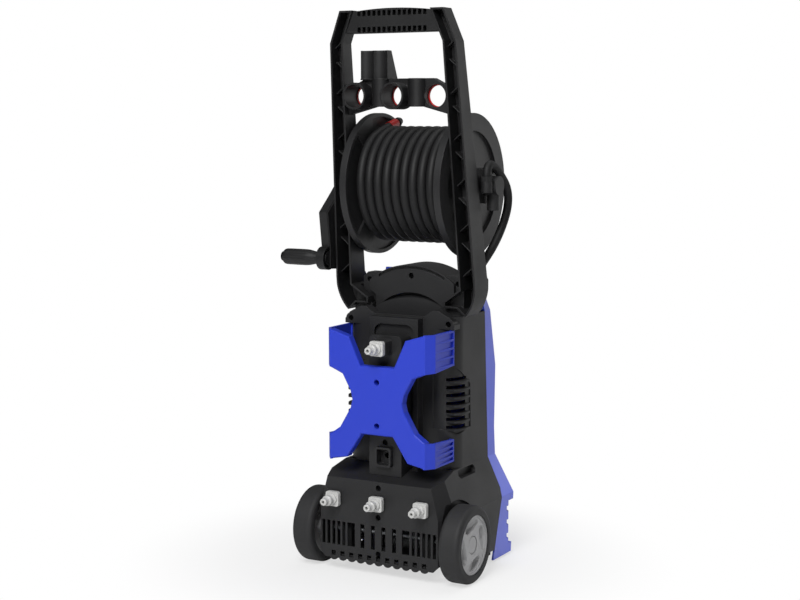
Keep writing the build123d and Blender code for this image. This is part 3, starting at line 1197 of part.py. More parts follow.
with BuildPart() as axle:
    rod_x(-AXLE_END, AXLE_END, AXLE_Y, WHEEL_R, AXLE_R)
keep(axle, "axle")

with BuildPart() as axle_caps:
    for _, side in SIDES:
        rod_x(side * (CAP_FACE - CAP_LENGTH), side * CAP_FACE, AXLE_Y, WHEEL_R, CAP_R)
    fillet(axle_caps.edges().group_by(Axis.X)[0] + axle_caps.edges().group_by(Axis.X)[-1], CAP_WALL / 2)
    rod_x(-AXLE_END - RUN, AXLE_END + RUN, AXLE_Y, WHEEL_R, AXLE_R + RUN, Mode.SUBTRACT)
keep(axle_caps, "axle_caps")


def round_axle(side, radius, degrees):
    """Point about the axle in the side view, its angle counted as seen from outside."""
    angle = math.radians(degrees)
    return (AXLE_Y + side * radius * math.cos(angle), WHEEL_R + radius * math.sin(angle))


for name, side in SIDES:
    with BuildPart() as tyre:
        with BuildSketch(rear_view(AXLE_Y)) as tyre_section:
            with Locations((side * (WHEEL_IN + WHEEL_WIDTH / 2), WHEEL_R + (RIM_R + FIT + WHEEL_R) / 2)):
                Rectangle(WHEEL_WIDTH, WHEEL_R - RIM_R - FIT)
            fillet(tyre_section.vertices().group_by(Axis.Y)[-1], TYRE_SHOULDER)
        revolve(axis=axle_line)
    keep(tyre, f"tyre_{name}")

    with BuildPart() as wheel_disc:
        rod_x(side * (WHEEL_IN + RIM_SINK), side * (WHEEL_FACE - RIM_SINK), AXLE_Y, WHEEL_R, RIM_R)
        rod_x(side * DISC_FACE, side * WHEEL_FACE, AXLE_Y, WHEEL_R, RIM_R - RIM_WALL, Mode.SUBTRACT)
        plate_x = DISC_FACE - POCKET_DEPTH - DISC_PLATE
        rod_x(side * WHEEL_IN, side * plate_x, AXLE_Y, WHEEL_R, RIM_R - RIM_WALL, Mode.SUBTRACT)
        rod_x(side * (ARCH_IN + FIT), side * DISC_FACE, AXLE_Y, WHEEL_R, HUB_R)
        # Drop-shaped pockets, all swept the same way round
        with BuildSketch(side_view(side * DISC_FACE)):
            for index in range(POCKETS):
                turn = index * 360 / POCKETS
                middle = turn + (POCKET_TIP_ANGLE + POCKET_END_ANGLE) / 2
                tip = round_axle(side, POCKET_OUT_R, turn + POCKET_TIP_ANGLE)
                outer = round_axle(side, POCKET_END_R, turn + POCKET_END_ANGLE)
                inner = round_axle(side, POCKET_IN_R, turn + POCKET_END_ANGLE - 5)
                end = round_axle(side, (POCKET_END_R + POCKET_IN_R) / 2, turn + POCKET_END_ANGLE + 5)
                with BuildLine():
                    ThreePointArc(tip, round_axle(side, POCKET_OUT_R, middle), outer)
                    ThreePointArc(outer, end, inner)
                    ThreePointArc(inner, round_axle(side, (POCKET_OUT_R + POCKET_IN_R) / 2, middle), tip)
                make_face()
        extrude(amount=-side * POCKET_DEPTH, mode=Mode.SUBTRACT)
        # Seat of the cap, and the axle's bore
        rod_x(side * HUB_FACE, side * WHEEL_FACE, AXLE_Y, WHEEL_R, CAP_R + FIT, Mode.SUBTRACT)
        rod_x(side * ARCH_IN, side * WHEEL_FACE, AXLE_Y, WHEEL_R, AXLE_R + RUN, Mode.SUBTRACT)
    keep(wheel_disc, f"wheel_disc_{name}")


# Hose reel

SPINDLE_SHOULDER = EAR_OUT + 1.0
SPINDLE_LEFT = CRANK_IN - 1.0
SPINDLE_RIGHT = SWIVEL_OUT - 6.0

with BuildPart() as reel_spindle:
    rod_x(-SPINDLE_SHOULDER, SPINDLE_SHOULDER, REEL_Y, REEL_Z, SPINDLE_R)
    rod_x(-SPINDLE_LEFT, SPINDLE_RIGHT, REEL_Y, REEL_Z, SPINDLE_END_R)
    rod_x(0, SPINDLE_RIGHT + 1, REEL_Y, REEL_Z, SPINDLE_BORE_R, Mode.SUBTRACT)
keep(reel_spindle, "reel_spindle")

with BuildPart() as reel_drum:
    rod_x(-FLANGE_IN + FIT, FLANGE_IN - FIT, REEL_Y, REEL_Z, DRUM_R)
    rod_x(-FLANGE_IN, FLANGE_IN, REEL_Y, REEL_Z, DRUM_R - DRUM_WALL, Mode.SUBTRACT)
keep(reel_drum, "reel_drum")


def on_reel(x, radius, degrees):
    """Point about the reel's axis, its angle counted from the front upwards."""
    angle = math.radians(degrees)
    return Vector(x, REEL_Y + radius * math.cos(angle), REEL_Z + radius * math.sin(angle))


def ring_sector(x, inner_r, outer_r, middle, span):
    """Part of a ring about the reel's axis, seen from the side."""
    with BuildSketch(side_view(x)) as face:
        ends = (middle - span / 2, middle, middle + span / 2)
        outer = [(p.Y, p.Z) for p in (on_reel(x, outer_r, angle) for angle in ends)]
        inner = [(p.Y, p.Z) for p in (on_reel(x, inner_r, angle) for angle in ends)]
        with BuildLine():
            ThreePointArc(*outer)
            Line(outer[2], inner[2])
            ThreePointArc(*inner)
            Line(inner[0], outer[0])
        make_face()
    return face.sketch


for name, side in SIDES:
    with BuildPart() as reel_flange:
        rod_x(side * FLANGE_IN, side * FLANGE_OUT, REEL_Y, REEL_Z, FLANGE_R)
        rod_x(side * (FLANGE_IN - SPIGOT), side * FLANGE_IN, REEL_Y, REEL_Z, DRUM_R - DRUM_WALL - FIT)
        rod_x(side * FLANGE_OUT, side * FLANGE_HUB_OUT, REEL_Y, REEL_Z, FLANGE_HUB_R)
        span = 360 / FLANGE_POCKETS - FLANGE_SPOKE_ANGLE
        for index in range(FLANGE_POCKETS):
            middle = 180 + index * 360 / FLANGE_POCKETS
            extrude(ring_sector(side * FLANGE_IN, DRUM_R + FLANGE_RIM, FLANGE_R - FLANGE_RIM, middle, span),
                    amount=side * FLANGE_POCKET, mode=Mode.SUBTRACT)
            extrude(ring_sector(side * FLANGE_OUT, FLANGE_HUB_R + FLANGE_RIM, FLANGE_FACE_R, middle, span),
                    amount=-side * FLANGE_FACE_POCKET, mode=Mode.SUBTRACT)
        rod_x(side * (FLANGE_IN - SPIGOT - 1), side * (FLANGE_HUB_OUT + 1), REEL_Y, REEL_Z, SPINDLE_R + RUN,
              Mode.SUBTRACT)
    keep(reel_flange, f"reel_flange_{name}")


# Hose: one outer layer wound over the layers under it

def hose_way(degrees, slope):
    """Direction of the wound hose: backwards round the reel and leftwards by its slope."""
    angle = math.radians(degrees)
    return Vector(-math.sin(slope), math.cos(slope) * math.sin(angle), -math.cos(slope) * math.cos(angle))


def biarc_middle(start, start_way, end, end_way):
    """Point where two arcs meet that run on from one direction into another."""
    chord = end - start
    spread = 2 * (1 - start_way.dot(end_way))
    lean = chord.dot(start_way + end_way)
    reach = (math.sqrt(lean * lean + spread * chord.dot(chord)) - lean) / spread
    return (start + end + (start_way - end_way) * reach) * 0.5


hose_slope = math.atan(WIND_PITCH / (2 * math.pi * WIND_R))
wind_left = -FLANGE_IN + HOSE_R + WIND_GAP
turns = []
for index in range(WIND_HALF_TURNS + 1):
    left = WIND_HALF_TURNS - index
    angle = WIND_END_ANGLE + 180 * left
    slope = hose_slope if left else 0
    turns.append((on_reel(wind_left + left * WIND_PITCH / 2, WIND_R, angle), hose_way(angle, slope)))
first, first_way = turns[0]
last, last_way = turns[-1]
hose_dive = first - first_way * 2 * HOSE_R
hose_end = last + last_way * WIND_END_RUN

with BuildLine() as hose_line:
    Line(hose_dive, first)
    for (start, way), (end, end_way) in zip(turns, turns[1:]):
        middle = biarc_middle(start, way, end, end_way)
        arc = TangentArc(start, middle, tangent=way)
        TangentArc(middle, end, tangent=arc % 1)
    Line(last, hose_end)

with BuildPart() as hose_winding:
    with BuildSketch(Plane(origin=hose_dive, z_dir=first_way)) as hose_section:
        Circle(HOSE_R)
    sweep(hose_section.sketch, path=hose_line.wires()[0])
keep(hose_winding, "hose_winding")

HOSE_STEPS = 40
hose_edges = hose_line.edges().sort_by(hose_line.wires()[0])
hose_points = [edge.position_at(step / HOSE_STEPS) for edge in hose_edges for step in range(HOSE_STEPS)]
apart = HOSE_STEPS * 2
hose_gap = min((a - b).length for i, a in enumerate(hose_points)
               for b in hose_points[i + apart:i + 4 * apart])
hose_length = sum(edge.length for edge in hose_edges)
print("hose: length", round(hose_length), "least gap between turns", round(hose_gap - 2 * HOSE_R, 2))
hose_swept = math.pi * HOSE_R ** 2 * hose_length
print("hose: volume", round(hose_winding.part.volume), "section times length", round(hose_swept))

with BuildPart() as hose_core:
    core_half = FLANGE_IN - CORE_GAP
    rod_x(-core_half, core_half, REEL_Y, REEL_Z, WIND_R - HOSE_R - CORE_GAP)
    rod_x(-FLANGE_IN, FLANGE_IN, REEL_Y, REEL_Z, DRUM_R + FIT, Mode.SUBTRACT)
    # Where the outer layer begins, the hose dives out of the layer under it
    lean = math.radians(DIVE_LEAN)
    back_way = first_way * -1
    inward = (on_reel(0, 1, WIND_END_ANGLE + 180 * WIND_HALF_TURNS) - on_reel(0, 0, 0)) * -math.cos(lean)
    inward = inward + Vector(math.sin(lean), 0, 0)
    inward = (inward - back_way * inward.dot(back_way)).normalized()
    dive = []
    for part in (0, 0.5, 1):
        bend = math.radians(DIVE_ANGLE * part)
        along = back_way * (DIVE_R * math.sin(bend))
        dive.append(hose_dive + along + inward * (DIVE_R * (1 - math.cos(bend))))
    with BuildLine() as dive_line:
        ThreePointArc(*dive)
    with BuildSketch(Plane(origin=hose_dive, z_dir=back_way)) as dive_section:
        Circle(HOSE_R)
    sweep(dive_section.sketch, path=dive_line.wires()[0])
keep(hose_core, "hose_core")

with BuildPart() as hose_end_collar:
    with BuildSketch(Plane(origin=hose_end, z_dir=last_way)):
        Circle(COUPLING_R)
    extrude(amount=COUPLING_LENGTH)
keep(hose_end_collar, "hose_end_collar")

tip_start = hose_end + last_way * COUPLING_LENGTH
with BuildPart() as hose_end_tip:
    with BuildSketch(Plane(origin=tip_start, z_dir=last_way)):
        Circle(TIP_R)
    extrude(amount=TIP_LENGTH)
    with BuildSketch(Plane(origin=tip_start + last_way * (TIP_LENGTH / 3), z_dir=last_way)):
        Circle(TIP_RING_R)
    extrude(amount=TIP_LENGTH / 3)
    with BuildSketch(Plane(origin=tip_start, z_dir=last_way)):
        Circle(NOZZLE_BORE_R)
    extrude(amount=TIP_LENGTH, mode=Mode.SUBTRACT)
keep(hose_end_tip, "hose_end_tip")


# Crank

grip_line = Axis((0, GRIP_Y, GRIP_Z), (1, 0, 0))

with BuildPart() as crank_arm:
    with BuildSketch(side_view(-CRANK_OUT)) as crank_face:
        with BuildLine():
            Polyline((28, 606), (-8, 574), (-41, 546), (-33, 490), (-33, 458), (7, 455), (66, 577), close=True)
        make_face()
        with Locations((REEL_Y, REEL_Z)):
            Circle(CRANK_HUB_R)
        with Locations((GRIP_Y, GRIP_Z)):
            Circle(CRANK_EYE_R)
    extrude(amount=CRANK_OUT - CRANK_IN)
    with BuildSketch(side_view(-CRANK_OUT + CRANK_WALL)):
        add(crank_face.sketch_local)
        offset(amount=-CRANK_WALL, kind=Kind.INTERSECTION, mode=Mode.REPLACE)
    extrude(amount=CRANK_OUT - CRANK_IN, mode=Mode.SUBTRACT)
    rod_x(-CRANK_OUT, -SPINDLE_SHOULDER - FIT, REEL_Y, REEL_Z, SPINDLE_END_R + 2 * CRANK_WALL)
    rod_x(-CRANK_OUT, -CRANK_IN, GRIP_Y, GRIP_Z, PIN_R + 2 * CRANK_WALL)
    rod_x(-SPINDLE_LEFT - FIT, -SPINDLE_SHOULDER, REEL_Y, REEL_Z, SPINDLE_END_R + RUN, Mode.SUBTRACT)
    rod_x(-CRANK_OUT, -CRANK_IN - CRANK_WALL, GRIP_Y, GRIP_Z, PIN_R + RUN, Mode.SUBTRACT)
keep(crank_arm, "crank_arm")

grip_inner = CRANK_OUT + FIT
grip_outer = CRANK_OUT + GRIP_LENGTH
with BuildPart() as crank_pin:
    rod_x(-grip_outer - 2 * FIT, -CRANK_IN - CRANK_WALL - FIT, GRIP_Y, GRIP_Z, PIN_R)
    rod_x(-CRANK_REACH, -grip_outer - FIT, GRIP_Y, GRIP_Z, PIN_HEAD_R)
keep(crank_pin, "crank_pin")

with BuildPart() as crank_grip:
    with BuildSketch(rear_view(GRIP_Y)):
        bore_z = GRIP_Z + PIN_R + RUN
        neck_z = GRIP_Z + GRIP_NECK_R
        with BuildLine():
            Polyline((-grip_inner, neck_z), (-grip_inner, bore_z), (-grip_outer, bore_z), (-grip_outer, neck_z))
            ThreePointArc((-grip_outer, neck_z), (-grip_inner - GRIP_LENGTH * 0.55, GRIP_Z + GRIP_R),
                          (-grip_inner, neck_z))
        make_face()
    revolve(axis=grip_line)
keep(crank_grip, "crank_grip")


# Swivel, lead hose and gland on the right

with BuildPart() as swivel_elbow:
    rod_x(SPINDLE_SHOULDER + FIT, SWIVEL_OUT, REEL_Y, REEL_Z, SWIVEL_R)
    rod_z(REEL_Z - SWIVEL_POST_LOW, REEL_Z + SWIVEL_POST_HIGH, PORT_X, REEL_Y, SWIVEL_POST_R)
    rod_y(REEL_Y, PORT_Y, PORT_X, REEL_Z, LEAD_R + FIT)
    rod_z(NUT_LOW_Z, NUT_LOW_Z + LEAD_R + SWIVEL_POST_R, PORT_X, PORT_Y, SWIVEL_POST_R - 1)
    rod_x(SPINDLE_SHOULDER, SPINDLE_RIGHT + FIT, REEL_Y, REEL_Z, SPINDLE_END_R + RUN, Mode.SUBTRACT)
keep(swivel_elbow, "swivel_elbow")

with BuildPart() as lead_nut:
    with BuildSketch(Plane.XY.offset(NUT_LOW_Z + LEAD_R + SWIVEL_POST_R)):
        with Locations((PORT_X, PORT_Y)):
            RegularPolygon(NUT_R, 6)
    extrude(amount=NUT_HIGH_Z - NUT_LOW_Z - LEAD_R - SWIVEL_POST_R)
keep(lead_nut, "lead_nut")

lead_points = [(PORT_X, PORT_Y, NUT_HIGH_Z), (PORT_X, PORT_Y, LEAD_TOP_Z), (PORT_X, 54, LEAD_TOP_Z - 6),
               (PORT_X, LEAD_FRONT_Y, LEAD_FRONT_Z), (PORT_X - 4, 72, 505), (GLAND_X, GLAND_Y, 446),
               (GLAND_X, GLAND_Y, TOP_Z + GLAND_HEIGHT)]
lead_bends = [LEAD_BEND_R, 2 * LEAD_BEND_R, 2 * LEAD_BEND_R, 2 * LEAD_BEND_R, 2 * LEAD_BEND_R]
with BuildLine() as lead_line:
    FilletPolyline(*lead_points, radius=lead_bends)
with BuildPart() as lead_hose:
    with BuildSketch(Plane.XY.offset(NUT_HIGH_Z)) as lead_section:
        with Locations((PORT_X, PORT_Y)):
            Circle(LEAD_R)
    sweep(lead_section.sketch, path=lead_line.wires()[0])
keep(lead_hose, "lead_hose")
lead_length = lead_line.wires()[0].length
print("lead hose: bends", lead_bends, "length", round(lead_length))
lead_swept = math.pi * LEAD_R ** 2 * lead_length
print("lead hose: volume", round(lead_hose.part.volume), "section times length", round(lead_swept))

with BuildPart() as hose_gland:
    rod_z(TOP_Z + FIT, TOP_Z + GLAND_HEIGHT, GLAND_X, GLAND_Y, GLAND_R)
    rod_z(TOP_Z - 2 * WALL, TOP_Z + FIT, GLAND_X, GLAND_Y, LEAD_R + GLAND_WALL - FIT)
keep(hose_gland, "hose_gland")


# Pump, motor and pipes inside the casing

pump_z = CHASSIS_TOP_Z + PUMP_HEAD_HEIGHT
swash_z = pump_z + PUMP_HEIGHT
plate_z = swash_z + SWASH_ROOM
can_z = plate_z + PLATE_THICK
upper_z = can_z + MOTOR_LENGTH
fan_z = upper_z + PLATE_THICK + WALL
swash_mid_z = swash_z + SWASH_ROOM * 0.65

with BuildPart() as pump_head:
    block((-PUMP_HEAD / 2, PUMP_HEAD / 2), (MOTOR_Y - PUMP_HEAD / 2, MOTOR_Y + PUMP_HEAD / 2),
          (CHASSIS_TOP_Z, pump_z))
    fillet(pump_head.edges().filter_by(Axis.Z), PISTON_R)
keep(pump_head, "pump_head")

with BuildPart() as pump_body:
    rod_z(pump_z, swash_z, 0, MOTOR_Y, PUMP_R)
    with BuildSketch(Plane.XY.offset(pump_z + WALL)):
        with Locations((0, MOTOR_Y)):
            with PolarLocations(PISTON_CIRCLE_R, PISTONS):
                Circle(PISTON_R + RUN)
    extrude(amount=PUMP_HEIGHT, mode=Mode.SUBTRACT)
keep(pump_body, "pump_body")

with BuildPart() as pistons:
    piston_top = swash_mid_z - SWASH_THICK / 2 - SWASH_R * math.sin(math.radians(SWASH_TILT)) - 1
    with BuildSketch(Plane.XY.offset(piston_top - PISTON_LENGTH)):
        with Locations((0, MOTOR_Y)):
            with PolarLocations(PISTON_CIRCLE_R, PISTONS):
                Circle(PISTON_R)
    extrude(amount=PISTON_LENGTH)
keep(pistons, "pistons")

with BuildPart() as swash_housing:
    rod_z(swash_z, plate_z, 0, MOTOR_Y, PUMP_R)
    rod_z(swash_z - 1, plate_z + 1, 0, MOTOR_Y, PUMP_R - WALL, Mode.SUBTRACT)
keep(swash_housing, "swash_housing")

with BuildPart() as swash_plate:
    rod_z(swash_mid_z - 2 * SWASH_THICK, swash_mid_z + 2 * SWASH_THICK, 0, MOTOR_Y, SWASH_R)
    tilted = Plane(origin=(0, MOTOR_Y, swash_mid_z), x_dir=(1, 0, 0),
                   z_dir=(0, math.sin(math.radians(SWASH_TILT)), math.cos(math.radians(SWASH_TILT))))
    split(bisect_by=tilted.offset(SWASH_THICK / 2), keep=Keep.BOTTOM)
    split(bisect_by=tilted.offset(-SWASH_THICK / 2), keep=Keep.TOP)
    rod_z(swash_z, plate_z, 0, MOTOR_Y, SHAFT_R + RUN, Mode.SUBTRACT)
keep(swash_plate, "swash_plate")

for name, z in (("lower", plate_z), ("upper", upper_z)):
    with BuildPart() as motor_plate:
        rod_z(z, z + PLATE_THICK, 0, MOTOR_Y, MOTOR_R)
        rod_z(z - 1, z + PLATE_THICK + 1, 0, MOTOR_Y, BEARING_R + FIT, Mode.SUBTRACT)
    keep(motor_plate, f"motor_plate_{name}")

with BuildPart() as motor_bearings:
    for z in (plate_z, upper_z):
        rod_z(z, z + PLATE_THICK, 0, MOTOR_Y, BEARING_R)
    rod_z(plate_z - 1, upper_z + PLATE_THICK + 1, 0, MOTOR_Y, SHAFT_R + RUN, Mode.SUBTRACT)
keep(motor_bearings, "motor_bearings")

with BuildPart() as motor_can:
    rod_z(can_z, upper_z, 0, MOTOR_Y, MOTOR_R)
    rod_z(can_z - 1, upper_z + 1, 0, MOTOR_Y, MOTOR_R - WALL, Mode.SUBTRACT)
keep(motor_can, "motor_can")

stator_z = can_z + (MOTOR_LENGTH - STATOR_LENGTH) / 2
with BuildPart() as stator:
    rod_z(stator_z, stator_z + STATOR_LENGTH, 0, MOTOR_Y, MOTOR_R - WALL - FIT)
    rod_z(stator_z - 1, stator_z + STATOR_LENGTH + 1, 0, MOTOR_Y, ROTOR_R + AIR_GAP, Mode.SUBTRACT)
keep(stator, "stator")

with BuildPart() as rotor:
    rod_z(stator_z, stator_z + STATOR_LENGTH, 0, MOTOR_Y, ROTOR_R)
    rod_z(stator_z - 1, stator_z + STATOR_LENGTH + 1, 0, MOTOR_Y, SHAFT_R + RUN, Mode.SUBTRACT)
keep(rotor, "rotor")

with BuildPart() as rotor_shaft:
    rod_z(swash_mid_z - SWASH_THICK / 2, fan_z + FAN_HEIGHT + WALL, 0, MOTOR_Y, SHAFT_R)
keep(rotor_shaft, "rotor_shaft")

with BuildPart() as fan:
    rod_z(fan_z, fan_z + FAN_HEIGHT, 0, MOTOR_Y, 2 * SHAFT_R)
    rod_z(fan_z, fan_z + WALL, 0, MOTOR_Y, FAN_R)
    with BuildSketch(Plane.XY.offset(fan_z)):
        with Locations((0, MOTOR_Y)):
            with PolarLocations((FAN_R + SHAFT_R) / 2, FAN_BLADES):
                Rectangle(FAN_R - SHAFT_R - WALL, WALL)
    extrude(amount=FAN_HEIGHT)
    rod_z(fan_z - 1, fan_z + FAN_HEIGHT + 1, 0, MOTOR_Y, SHAFT_R + RUN, Mode.SUBTRACT)
keep(fan, "fan")

with BuildPart() as capacitor:
    rod_z(stator_z, stator_z + CAPACITOR_LENGTH, -MOTOR_R - CAPACITOR_R - FIT, MOTOR_Y, CAPACITOR_R)
keep(capacitor, "capacitor")

with BuildPart() as water_inlet:
    rod_y(WATER_TIP_Y, WATER_BACK_Y, WATER_X, WATER_Z, WATER_R)
    rod_y(TOE_Y + FRONT_BULGE, WATER_BACK_Y, WATER_X, WATER_Z, WATER_R + WALL)
    rod_y(WATER_TIP_Y + 1, WATER_BACK_Y + WALL, WATER_X, WATER_Z, WATER_R - WALL, Mode.SUBTRACT)
keep(water_inlet, "water_inlet")

inlet_line_z = CHASSIS_TOP_Z + PUMP_HEAD_HEIGHT / 2
with BuildLine() as inlet_line:
    FilletPolyline((WATER_X, WATER_BACK_Y, WATER_Z), (WATER_X, MOTOR_Y + 2 * PIPE_BEND_R, WATER_Z),
                   (WATER_X - PIPE_BEND_R, MOTOR_Y, inlet_line_z), (-PUMP_HEAD / 2, MOTOR_Y, inlet_line_z),
                   radius=[PIPE_BEND_R, PIPE_BEND_R])
with BuildPart() as inlet_pipe:
    with BuildSketch(rear_view(WATER_BACK_Y)) as pipe_section:
        with Locations((WATER_X, WATER_Z)):
            Circle(PIPE_R)
    sweep(pipe_section.sketch, path=inlet_line.wires()[0])
keep(inlet_pipe, "inlet_pipe")

outlet_x = GLAND_X - PIPE_BEND_R
with BuildLine() as outlet_line:
    FilletPolyline((PUMP_HEAD / 2, MOTOR_Y, inlet_line_z), (outlet_x, MOTOR_Y, inlet_line_z),
                   (GLAND_X, GLAND_Y, SHOULDER_Z), (GLAND_X, GLAND_Y, TOP_Z - 2 * WALL),
                   radius=[PIPE_BEND_R, 2 * PIPE_BEND_R])
with BuildPart() as outlet_pipe:
    with BuildSketch(side_view(PUMP_HEAD / 2)) as pipe_section:
        with Locations((MOTOR_Y, inlet_line_z)):
            Circle(PIPE_R)
    sweep(pipe_section.sketch, path=outlet_line.wires()[0])
keep(outlet_pipe, "outlet_pipe")


# Switch

with BuildPart() as switch_box:
    switch_y = PART_UPPER_Y + PART_GAP + SWITCH_SEAT - WALL
    block((-SWITCH_HALF, SWITCH_HALF), (switch_y - SWITCH_DEPTH, switch_y),
          (KNOB_Z - SWITCH_HEIGHT / 2, KNOB_Z + SWITCH_HEIGHT / 2))
    rod_y(switch_y + SWITCH_NOSE, switch_y, 0, KNOB_Z, SWITCH_NOSE_R)
    rod_y(switch_y + SWITCH_NOSE + 1, switch_y - SWITCH_NOSE, 0, KNOB_Z, KNOB_SHAFT_R + RUN, Mode.SUBTRACT)
keep(switch_box, "switch_box")

with BuildPart() as switch_knob:
    rod_y(KNOB_PAD_Y + FIT + KNOB_DEPTH / 2, KNOB_PAD_Y + FIT, 0, KNOB_Z, KNOB_R)
    block((-KNOB_SHAFT_R, KNOB_SHAFT_R), (KNOB_PAD_Y + FIT, KNOB_PAD_Y + FIT + KNOB_DEPTH),
          (KNOB_Z - KNOB_R + 1, KNOB_Z + KNOB_R - 1))
    rod_y(KNOB_PAD_Y + FIT, switch_y - SWITCH_NOSE + FIT, 0, KNOB_Z, KNOB_SHAFT_R)
keep(switch_knob, "switch_knob")


# Screws

def screw(x, y, z):
    """Pan-head screw sunk below the face at y."""
    head_y = y + SCREW_SINK
    rod_y(head_y + SCREW_HEAD, head_y, x, z, SCREW_HEAD_R)
    rod_y(head_y + SCREW_LENGTH - FIT, head_y + SCREW_HEAD, x, z, SCREW_R)
    rod_y(head_y + SCREW_HEAD / 2, head_y - 1, x, z, SCREW_R / 2, Mode.SUBTRACT)


with BuildPart() as screws:
    for place in casing_screws + dome_screws + spine_screws + wrap_screws:
        screw(*place)
keep(screws, "screws")
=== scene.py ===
# %% [markdown]
# # Upright pressure washer
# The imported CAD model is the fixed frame: every piece of it stays where it is, and this lesson adds or
# redraws what CAD leaves plain. First comes the camera, then one finish after another, each worked out
# from what the real surface is made of and how it was moulded. Then come the hoses, the screws, a row
# of tabs, the crank and the wheels, and last the surround, the floor and the lamps.

# %% Load the frame
import json
import math

import bmesh
import bpy
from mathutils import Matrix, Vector


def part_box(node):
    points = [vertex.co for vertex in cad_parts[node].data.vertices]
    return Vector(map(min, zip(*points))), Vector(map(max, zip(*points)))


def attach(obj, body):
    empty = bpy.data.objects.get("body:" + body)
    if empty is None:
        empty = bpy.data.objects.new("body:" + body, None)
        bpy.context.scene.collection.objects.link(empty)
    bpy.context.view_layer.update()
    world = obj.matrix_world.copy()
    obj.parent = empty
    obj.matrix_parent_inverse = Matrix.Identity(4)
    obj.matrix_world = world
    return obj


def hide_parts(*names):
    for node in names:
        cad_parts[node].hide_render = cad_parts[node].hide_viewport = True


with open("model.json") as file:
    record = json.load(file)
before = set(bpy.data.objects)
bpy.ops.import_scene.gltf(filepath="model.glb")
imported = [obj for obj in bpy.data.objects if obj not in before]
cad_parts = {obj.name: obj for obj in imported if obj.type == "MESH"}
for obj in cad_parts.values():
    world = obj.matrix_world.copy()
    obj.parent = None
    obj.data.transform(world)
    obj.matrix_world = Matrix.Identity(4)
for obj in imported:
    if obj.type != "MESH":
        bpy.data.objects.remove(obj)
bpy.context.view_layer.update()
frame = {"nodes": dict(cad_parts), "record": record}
nodes = frame["nodes"]
scene = bpy.context.scene
MM = 0.001


def middle(name):
    """Middle of a CAD node's box."""
    low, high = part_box(name)
    return (Vector(low) + Vector(high)) / 2


# %% [markdown]
# ## Camera
# The photograph looks at the rear of the machine from its right, from a little above. Azimuth,
# elevation, distance and focal length came from fitting a pinhole camera to known edges, so the
# render can be laid over the photograph.

# %% Camera
CAMERA_AZIMUTH = math.radians(29.27)
CAMERA_ELEVATION = math.radians(6.68)
CAMERA_DISTANCE = 2.425
CAMERA_LENS = 70.64
CAMERA_SENSOR = 36.0
AIM_LEFT = 16.9 * MM
AIM_Y = -8.0 * MM
AIM_Z = 411.9 * MM
aim = Vector((middle("handle_grip").x - AIM_LEFT, AIM_Y, AIM_Z))


def direction(azimuth, elevation):
    """Unit vector towards a place round the machine; azimuth 0 is straight behind it."""
    level = math.cos(elevation)
    return Vector((math.sin(azimuth) * level, -math.cos(azimuth) * level, math.sin(elevation)))


away = direction(CAMERA_AZIMUTH, CAMERA_ELEVATION)
camera_data = bpy.data.cameras.new("camera")
camera_data.lens = CAMERA_LENS
camera_data.sensor_width = CAMERA_SENSOR
camera = bpy.data.objects.new("camera", camera_data)
scene.collection.objects.link(camera)
camera.location = aim + away * CAMERA_DISTANCE
camera.rotation_euler = (-away).to_track_quat("-Z", "Y").to_euler()
scene.camera = camera
print("camera at", [round(c, 3) for c in camera.location])


# %% [markdown]
# ## One function for nodes, one for colours
# Materials and Geometry Nodes are both trees of nodes, so one small function adds a node to either:
# its properties, the constants on its sockets, and the sockets that feed it. Colours are written as
# sRGB hex values, which is how they are read off a picture, and turned to linear light here.


# %% Nodes and colours
def node(tree, kind, links=None, values=None, **settings):
    """Add one node: settings are its properties, values its constants, links what feeds its sockets."""
    made = tree.nodes.new(kind)
    for key, value in settings.items():
        setattr(made, key, value)
    for socket, value in (values or {}).items():
        made.inputs[socket].default_value = value
    for socket, source in (links or {}).items():
        tree.links.new(source, made.inputs[socket])
    return made


def srgb(code):
    """Linear colour from an sRGB hex value."""
    parts = [int(code[i:i + 2], 16) / 255 for i in (1, 3, 5)]
    return tuple(c / 12.92 if c <= 0.04045 else ((c + 0.055) / 1.055) ** 2.4 for c in parts) + (1.0,)


# %% [markdown]
# ## Moulded plastic and rubber
# Almost everything is injection-moulded. The steel mould was spark-eroded, which leaves a fine pebble
# grain that breaks up reflections; the plastic shrank as it cooled, which leaves a slow waviness; and
# corners that hands and floors rub are slightly polished and paler. The grain and the waviness come
# from noise at real sizes, and the rubbed corners from comparing the true normal with one rounded over
# a millimetre. Real spark grain is about 0.1 mm across, too fine to show, so it is drawn coarser.

# %% Moulded recipe
WAVE_MM = 9.0
CLOUD_MM = 70.0
GRAIN_HEIGHT = 0.12 * MM
WAVE_HEIGHT = 0.25 * MM
EDGE_MM = 0.9
BEVEL_SAMPLES = 6
BLUNT_EDGE = 0.96     # cosine between true and rounded normal where wear begins
SHARP_EDGE = 0.78     # and where it is complete
NOISE_LOW = 0.3       # most of the noise lies between these two values
NOISE_HIGH = 0.7
SMOOTHER = 0.05       # roughness lost at the low end of the noise and gained at its high end
ROUGHER = 0.06
PLASTIC_IOR = 1.40    # low, because the grain holds back the sheen at grazing angles


